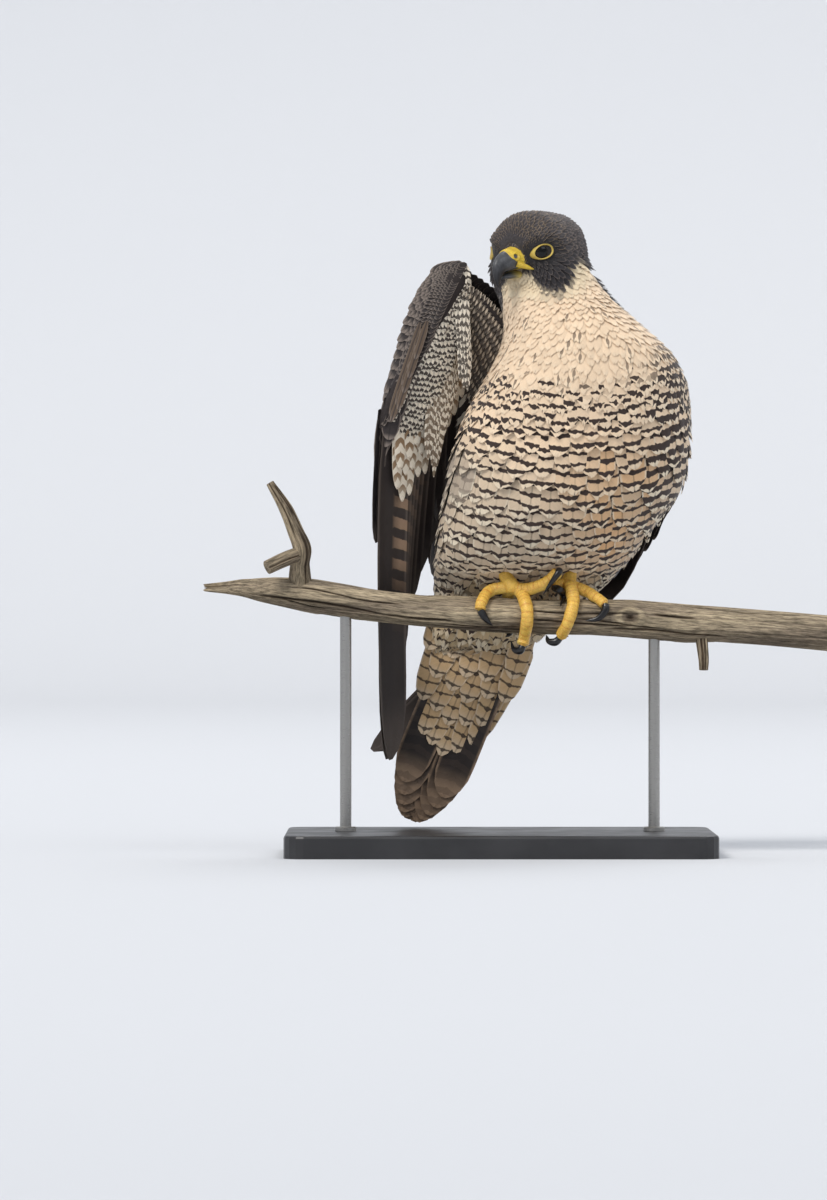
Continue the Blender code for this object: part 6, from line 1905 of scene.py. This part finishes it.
def ripple(along, angle, stretch, turns, random, waves=9):
    """A rough surface from summed sines: long waves along the wood, whole turns round it."""
    total = 0
    for _ in range(waves):
        per_turn = random.integers(turns[0], turns[1] + 1)
        pitch = random.uniform(0.6, 1.6) / stretch
        total = total + np.sin(along * pitch + angle * per_turn + random.uniform(0, 6.28)) / math.sqrt(waves)
    return total


def wood_grid(path, radii, rows, around, random, cracks, relief):
    """A weathered stick: rings round a path, lumped, fluted along the grain and split by cracks.

    Radius is the stick's own, plus long low lumps, plus fine flutes, minus a bell across each crack.
    """
    line = smooth_path(path, rows)
    along = np.concatenate([[0], np.cumsum(np.linalg.norm(np.diff(line, axis=0), axis=1))])[:, None]
    angle = turns_of(around)[None]
    radius = spread_values(radii, rows)[:, None]
    lumps = 0.05 * radius * ripple(along, angle, 28, (1, 3), random)
    flutes = 0.26 * relief * ripple(along, angle, 60, (12, 34), random, 14)
    split = np.zeros((rows, around))
    for _ in range(cracks):
        middle = random.uniform(0, along[-1, 0])
        reach = random.uniform(10, 55)
        wander = random.uniform(0, 6.28) + 0.10 * np.sin(along / random.uniform(9, 24)) + along * 0.0015
        gap = np.abs((angle - wander + math.pi) % (2 * math.pi) - math.pi) * radius
        width = random.uniform(0.35, 0.8)
        open_share = ease(reach, reach * 0.5, np.abs(along - middle))
        split = np.maximum(split, np.exp(-(gap / width) ** 2) * open_share)
    _, first, second = path_frames(line)
    size = radius + lumps + flutes - 1.3 * relief * split * np.minimum(radius / 6, 1)
    return line, along, angle, first, second, size, split


def wood_points(line, first, second, angle, size):
    """A surface round a line: both cross axes times cosine and sine of the angle, times the size."""
    return line[:, None] + first[:, None] * (size * np.cos(angle))[..., None] + second[:,
        None] * (size * np.sin(angle))[..., None]


def wood_material():
    """Dead wood, bark gone, greyed by weather: raised pale fibres run along the grain over dark cracks.

    Fibres are about a millimetre apart, and the grain attribute stretches the noise along them.
    """
    material, tree, shader = new_material("weathered dead wood", Roughness=0.82, Specular_IOR_Level=0.25)
    ground = add(tree, "Attribute", out="Color", attribute_name="ground")
    grain = add(tree, "Attribute", out="Vector", attribute_name="grain")
    soft = {"interpolation_type": "SMOOTHSTEP"}
    fibres = add(tree, "TexNoise", {"Vector": grain, "Scale": 1.1, "Detail": 6, "Roughness": 0.7})
    blotch = add(tree, "TexNoise", {"Vector": grain, "Scale": 0.16, "Detail": 3})
    tone = add(tree, "Math", (add(tree, "MapRange", (fibres, 0.3, 0.68, 0.3, 1.35), **soft),
        add(tree, "MapRange", (blotch, 0.3, 0.7, 0.7, 1.15), **soft)), operation="MULTIPLY")
    tones = (tone, tone, add(tree, "Math", (tone, 0.98), operation="MULTIPLY"))
    finish(tree, shader, ground, tones, fibres, 0.8, 0.0009)
    return material


def place_wood(name, points, along, angle, size, split, tints, material, replaced, dark=0):
    """Puts a stick in the scene with its tone and grain: cracks and hollows dark, ridges pale, and darker still where
    dark says, as in the painted shade under the branch.
    """
    radius = size.mean(axis=1, keepdims=True)
    ridge = np.clip((size - radius) / 0.6, -1, 1)
    colour = mix(tints["wood"], tints["wood_pale"], np.clip(0.30 + 0.35 * ridge, 0, 1)[..., None])
    colour = mix(colour, tints["wood_dark"], np.clip(split * 1.2 + dark, 0, 0.95)[..., None])
    grain = np.stack(np.broadcast_arrays(along * 0.09, radius * np.cos(angle), radius * np.sin(angle)), axis=-1)
    put_grids(name, [points], material, "dead_wood", replaced, attributes={"ground": [colour], "grain": [grain]},
        sharp_degrees=70)


def make_perch():
    """Branch, twig, snag and stub.

    The branch's knot is a bell-shaped collar minus a bell-shaped pit, with rings as a fading cosine. Its
    torn end is narrowed and pushed out by a ripple round the branch.
    """
    tints = tints_of(settings()[3])
    material = wood_material()
    random = draws("perch")
    stations = BRANCH_STATIONS
    even = np.linspace(stations[0, 0], stations[-1, 0], 60)
    path = vectors(even, 0 * even, np.interp(even, stations[:, 0], stations[:, 1]))
    radii = np.interp(even, stations[:, 0], stations[:, 2] / 2)
    line, along, angle, first, second, size, split = wood_grid(path, radii, BRANCH_ROWS, BRANCH_AROUND,
        random, CRACKS, 1)
    x = line[:, 0][:, None]
    around = ((angle - KNOT[1] + math.pi) % (2 * math.pi) - math.pi) * KNOT_RADIUS
    away = np.hypot((x - KNOT[0]) / KNOT_LONG, around)
    size = size + 1.3 * np.exp(-((away - 5.6) / 1.9) ** 2) - 4 * np.exp(-(away / 2.2) ** 2)
    size = size + 0.22 * np.cos(away * 2.6) * np.exp(-(away / 8) ** 2)
    spread = ease(-165, -203, x)
    tear = np.abs(ripple(0 * along, angle, 1, (3, 9), random))
    size = size * (1 - 0.35 * spread * tear)
    points = wood_points(line, first, second, angle, size)
    points[..., 0] = points[..., 0] + 7 * (tear - 0.7) * ease(-190, -203, x)
    # painted shade: the branch's underside is darkened; the knot's pit and a ring round it are darker as well
    under = 0.35 * ease(0.1, -0.9, np.sin(angle))
    dark = under + 0.95 * np.exp(-(away / 2.6) ** 2) + 0.3 * np.exp(-((away - 4.2) / 0.7) ** 2)
    place_wood("branch_wood", points, along, angle, size, split, tints, material, ("perch_branch",), dark)

    sticks = (("twig_wood", TWIG_PATH, TWIG_RADII, 220, 8, ("perch_twig",)),
        ("snag_wood", SNAG_PATH, SNAG_RADII, 80, 5, ()), ("stub_wood", STUB_PATH, STUB_RADII, 90, 6, ("perch_stub",)))
    for name, route, radii, rows, cracks, replaced in sticks:
        line, along, angle, first, second, size, split = wood_grid(route, radii, rows, 56, random, cracks, 0.55)
        points = wood_points(line, first, second, angle, size)
        place_wood(name, points, along, angle, size, split, tints, material, replaced,
            0.25 * ease(0.3, -0.9, np.cos(angle)))


ROD_FOOT = 7.5                   # radius of the collar where a rod enters the base


def make_stand():
    """The rods with their collars, and the base's paint."""
    tints = tints_of(settings()[3])
    soft = {"interpolation_type": "SMOOTHSTEP"}
    steel, tree, shader = new_material("brushed steel rod", Metallic=1, Roughness=0.34, Base_Color=(*tints["steel"],
        1))
    place = add(tree, "TexCoord", out="Object")
    brushed = add(tree, "Mapping", {"Vector": place, "Scale": (1, 1, 14)})
    lines = add(tree, "TexNoise", {"Vector": brushed, "Scale": 260, "Detail": 3})
    tree.links.new(add(tree, "MapRange", (lines, 0.3, 0.7, 0.26, 0.42), **soft), shader.inputs["Roughness"])
    bump = add(tree, "Bump", {"Height": lines, "Strength": 0.15, "Distance": 0.0001})
    tree.links.new(bump, shader.inputs["Normal"])
    for side, name in ((-1, "right"), (1, "left")):
        top = np.interp(side * ROD_X, BRANCH_STATIONS[:, 0], BRANCH_STATIONS[:, 1]) - 8
        foot = BASE_THICK + 0.1
        heights = np.array((foot, foot + 0.1, foot + 2.6, foot + 3.2, foot + 3.3, 60, 110, top - 0.1, top))
        radii = np.array((ROD_FOOT - 0.3, ROD_FOOT, ROD_FOOT, ROD_FOOT - 0.6, ROD_RADIUS, ROD_RADIUS, ROD_RADIUS,
            ROD_RADIUS, ROD_RADIUS - 0.2))
        path = vectors(0 * heights + side * ROD_X, 0 * heights, heights)
        angle = turns_of(48)
        points = path[:, None] + radii[:, None, None] * vectors(np.cos(angle), np.sin(angle), 0 * angle)
        put_grids("rod_" + name, [points], steel, "stand_steel", ("stand_rod_" + name,), sharp_degrees=30)

    paint, tree, shader = new_material("satin paint on steel plate", Roughness=0.42)
    place = add(tree, "TexCoord", out="Object")
    peel = add(tree, "TexNoise", {"Vector": place, "Scale": 900, "Detail": 2})
    dust = add(tree, "TexNoise", {"Vector": place, "Scale": 35, "Detail": 5})
    tone = add(tree, "MapRange", (dust, 0.35, 0.75, 0.9, 1.25), **soft)
    tree.links.new(add(tree, "MapRange", (dust, 0.3, 0.8, 0.36, 0.52), **soft), shader.inputs["Roughness"])
    finish(tree, shader, (*tints["paint"], 1), (tone, tone, tone), peel, 0.2, 0.0002)
    base = bpy.data.objects["stand_base"]
    base.data.materials.clear()
    base.data.materials.append(paint)


# ---- operators

class FALCON_OT_coat(bpy.types.Operator):
    """Builds the skin and the feathers of head, neck, breast, belly, thighs and back"""
    bl_idname = "falcon.coat"
    bl_label = "Skin and Coat"

    def execute(self, context):
        make_skin()
        make_head_coat()
        make_body_coat()
        return {"FINISHED"}


class FALCON_OT_wings(bpy.types.Operator):
    """Builds the raised right wing and the folded left wing, feather by feather"""
    bl_idname = "falcon.wings"
    bl_label = "Wings"

    def execute(self, context):
        make_right_wing()
        make_left_wing()
        return {"FINISHED"}


class FALCON_OT_tail(bpy.types.Operator):
    """Builds the tail feathers and the coverts above and below them"""
    bl_idname = "falcon.tail"
    bl_label = "Tail"

    def execute(self, context):
        make_tail()
        return {"FINISHED"}


class FALCON_OT_eyes(bpy.types.Operator):
    """Builds both eyes and the bare rings round them"""
    bl_idname = "falcon.eyes"
    bl_label = "Eyes"

    def execute(self, context):
        make_eyes()
        return {"FINISHED"}


class FALCON_OT_bill(bpy.types.Operator):
    """Builds the hooked bill and the cere at its foot"""
    bl_idname = "falcon.bill"
    bl_label = "Bill and Cere"

    def execute(self, context):
        make_bill()
        make_cere()
        return {"FINISHED"}


class FALCON_OT_feet(bpy.types.Operator):
    """Builds both feet, toe by toe, and their claws"""
    bl_idname = "falcon.feet"
    bl_label = "Feet and Claws"

    def execute(self, context):
        make_feet()
        return {"FINISHED"}


class FALCON_OT_perch(bpy.types.Operator):
    """Builds the weathered branch with its twig, snag and stub"""
    bl_idname = "falcon.perch"
    bl_label = "Perch"

    def execute(self, context):
        make_perch()
        return {"FINISHED"}


class FALCON_OT_stand(bpy.types.Operator):
    """Builds the rods and paints the base"""
    bl_idname = "falcon.stand"
    bl_label = "Stand"

    def execute(self, context):
        make_stand()
        return {"FINISHED"}


def make_stage():
    """A pale floor that sweeps up all round into a wall, three soft lights and the camera."""
    stage = settings()[4]
    turn = np.linspace(0, math.pi / 2, 16)
    radii = np.concatenate([[0.001, 1, 3, 5], 7 + 2.5 * np.sin(turn), [9.5]])
    heights = np.concatenate([[0, 0, 0, 0], 2.5 - 2.5 * np.cos(turn), [6]])
    angle = turns_of(96)
    points = vectors(radii[:, None] * np.cos(angle), radii[:, None] * np.sin(angle),
        heights[:, None] * np.ones(96)) / MM
    mesh = mesh_from_grids("floor", [points[:, ::-1]], cap=False)
    material, _, _ = new_material("matt painted studio floor", Roughness=0.95, Specular_IOR_Level=0.1,
        Base_Color=(*stage.floor, 1))
    floor = bpy.data.objects.new("floor", mesh)
    bpy.context.scene.collection.objects.link(floor)
    mesh.materials.append(material)

    # a lamp's way is (azimuth from the front towards the bird's left, height above the floor), in degrees
    lamps = (("key_light", (-38, 47), stage.key, 20, (1, 0.97, 0.93)),
        ("fill_light", (48, 40), stage.fill, 40, (0.94, 0.97, 1)),
        ("back_light", (160, 52), stage.key * 0.45, 30, (0.97, 0.98, 1)))
    for name, (azimuth, height), strength, width, colour in lamps:
        lamp = bpy.data.lights.new(name, "SUN")
        lamp.angle = math.radians(width)
        lamp.energy = strength
        lamp.color = colour
        thing = bpy.data.objects.new(name, lamp)
        aside, up = math.radians(azimuth), math.radians(height)
        way = (math.sin(aside) * math.cos(up), -math.cos(aside) * math.cos(up), math.sin(up))
        thing.location = way
        thing.rotation_mode = "QUATERNION"
        thing.rotation_quaternion = mathutils.Vector(way).to_track_quat("Z", "Y")
        bpy.context.scene.collection.objects.link(thing)
    world = bpy.data.worlds.new("studio air")
    world.use_nodes = True
    air = world.node_tree.nodes["Background"]
    air.inputs["Color"].default_value = (0.93, 0.96, 1, 1)
    air.inputs["Strength"].default_value = stage.air
    bpy.context.scene.world = world
    bpy.context.scene.view_settings.view_transform = "Standard"

    camera = bpy.data.cameras.new("camera")
    camera.lens = 200
    camera.sensor_width = 36
    camera.clip_end = 100
    thing = bpy.data.objects.new("camera", camera)
    thing.location = (-0.0605, -4.67, 0.178)
    thing.rotation_euler = (math.radians(90), 0, 0)
    bpy.context.scene.collection.objects.link(thing)
    bpy.context.scene.camera = thing


class FALCON_OT_stage(bpy.types.Operator):
    """Builds the floor, lights and camera"""
    bl_idname = "falcon.stage"
    bl_label = "Stage"

    def execute(self, context):
        make_stage()
        return {"FINISHED"}


class FALCON_PT_panel(bpy.types.Panel):
    """Lists the falcon's builders"""
    bl_label = "Falcon"
    bl_idname = "FALCON_PT_panel"
    bl_space_type = "VIEW_3D"
    bl_region_type = "UI"
    bl_category = "Falcon"

    def draw(self, context):
        for operator in OPERATORS:
            self.layout.operator(operator.bl_idname)


GROUPS = {"falcon_plumage": FalconPlumage, "falcon_wings": FalconWings, "falcon_bare": FalconBareParts,
          "falcon_perch": FalconPerch, "falcon_stage": FalconStage}
OPERATORS = (FALCON_OT_coat, FALCON_OT_wings, FALCON_OT_tail, FALCON_OT_eyes, FALCON_OT_bill, FALCON_OT_feet,
             FALCON_OT_perch, FALCON_OT_stand, FALCON_OT_stage)


def register():
    """Registers groups, operators and panel, and gives the scene one property for each group."""
    for group in GROUPS.values():
        bpy.utils.register_class(group)
    for label, group in GROUPS.items():
        setattr(bpy.types.Scene, label, PointerProperty(type=group))
    for operator in OPERATORS:
        bpy.utils.register_class(operator)
    bpy.utils.register_class(FALCON_PT_panel)


def unregister():
    """Takes away what register adds, last first."""
    bpy.utils.unregister_class(FALCON_PT_panel)
    for operator in reversed(OPERATORS):
        bpy.utils.unregister_class(operator)
    for label, group in reversed(list(GROUPS.items())):
        delattr(bpy.types.Scene, label)
        bpy.utils.unregister_class(group)


def main():
    """Builds all pieces through their operators."""
    register()
    bpy.ops.falcon.coat()
    bpy.ops.falcon.wings()
    bpy.ops.falcon.tail()
    bpy.ops.falcon.eyes()
    bpy.ops.falcon.bill()
    bpy.ops.falcon.feet()
    bpy.ops.falcon.perch()
    bpy.ops.falcon.stand()
    bpy.ops.falcon.stage()


if __name__ == "__main__":
    main()
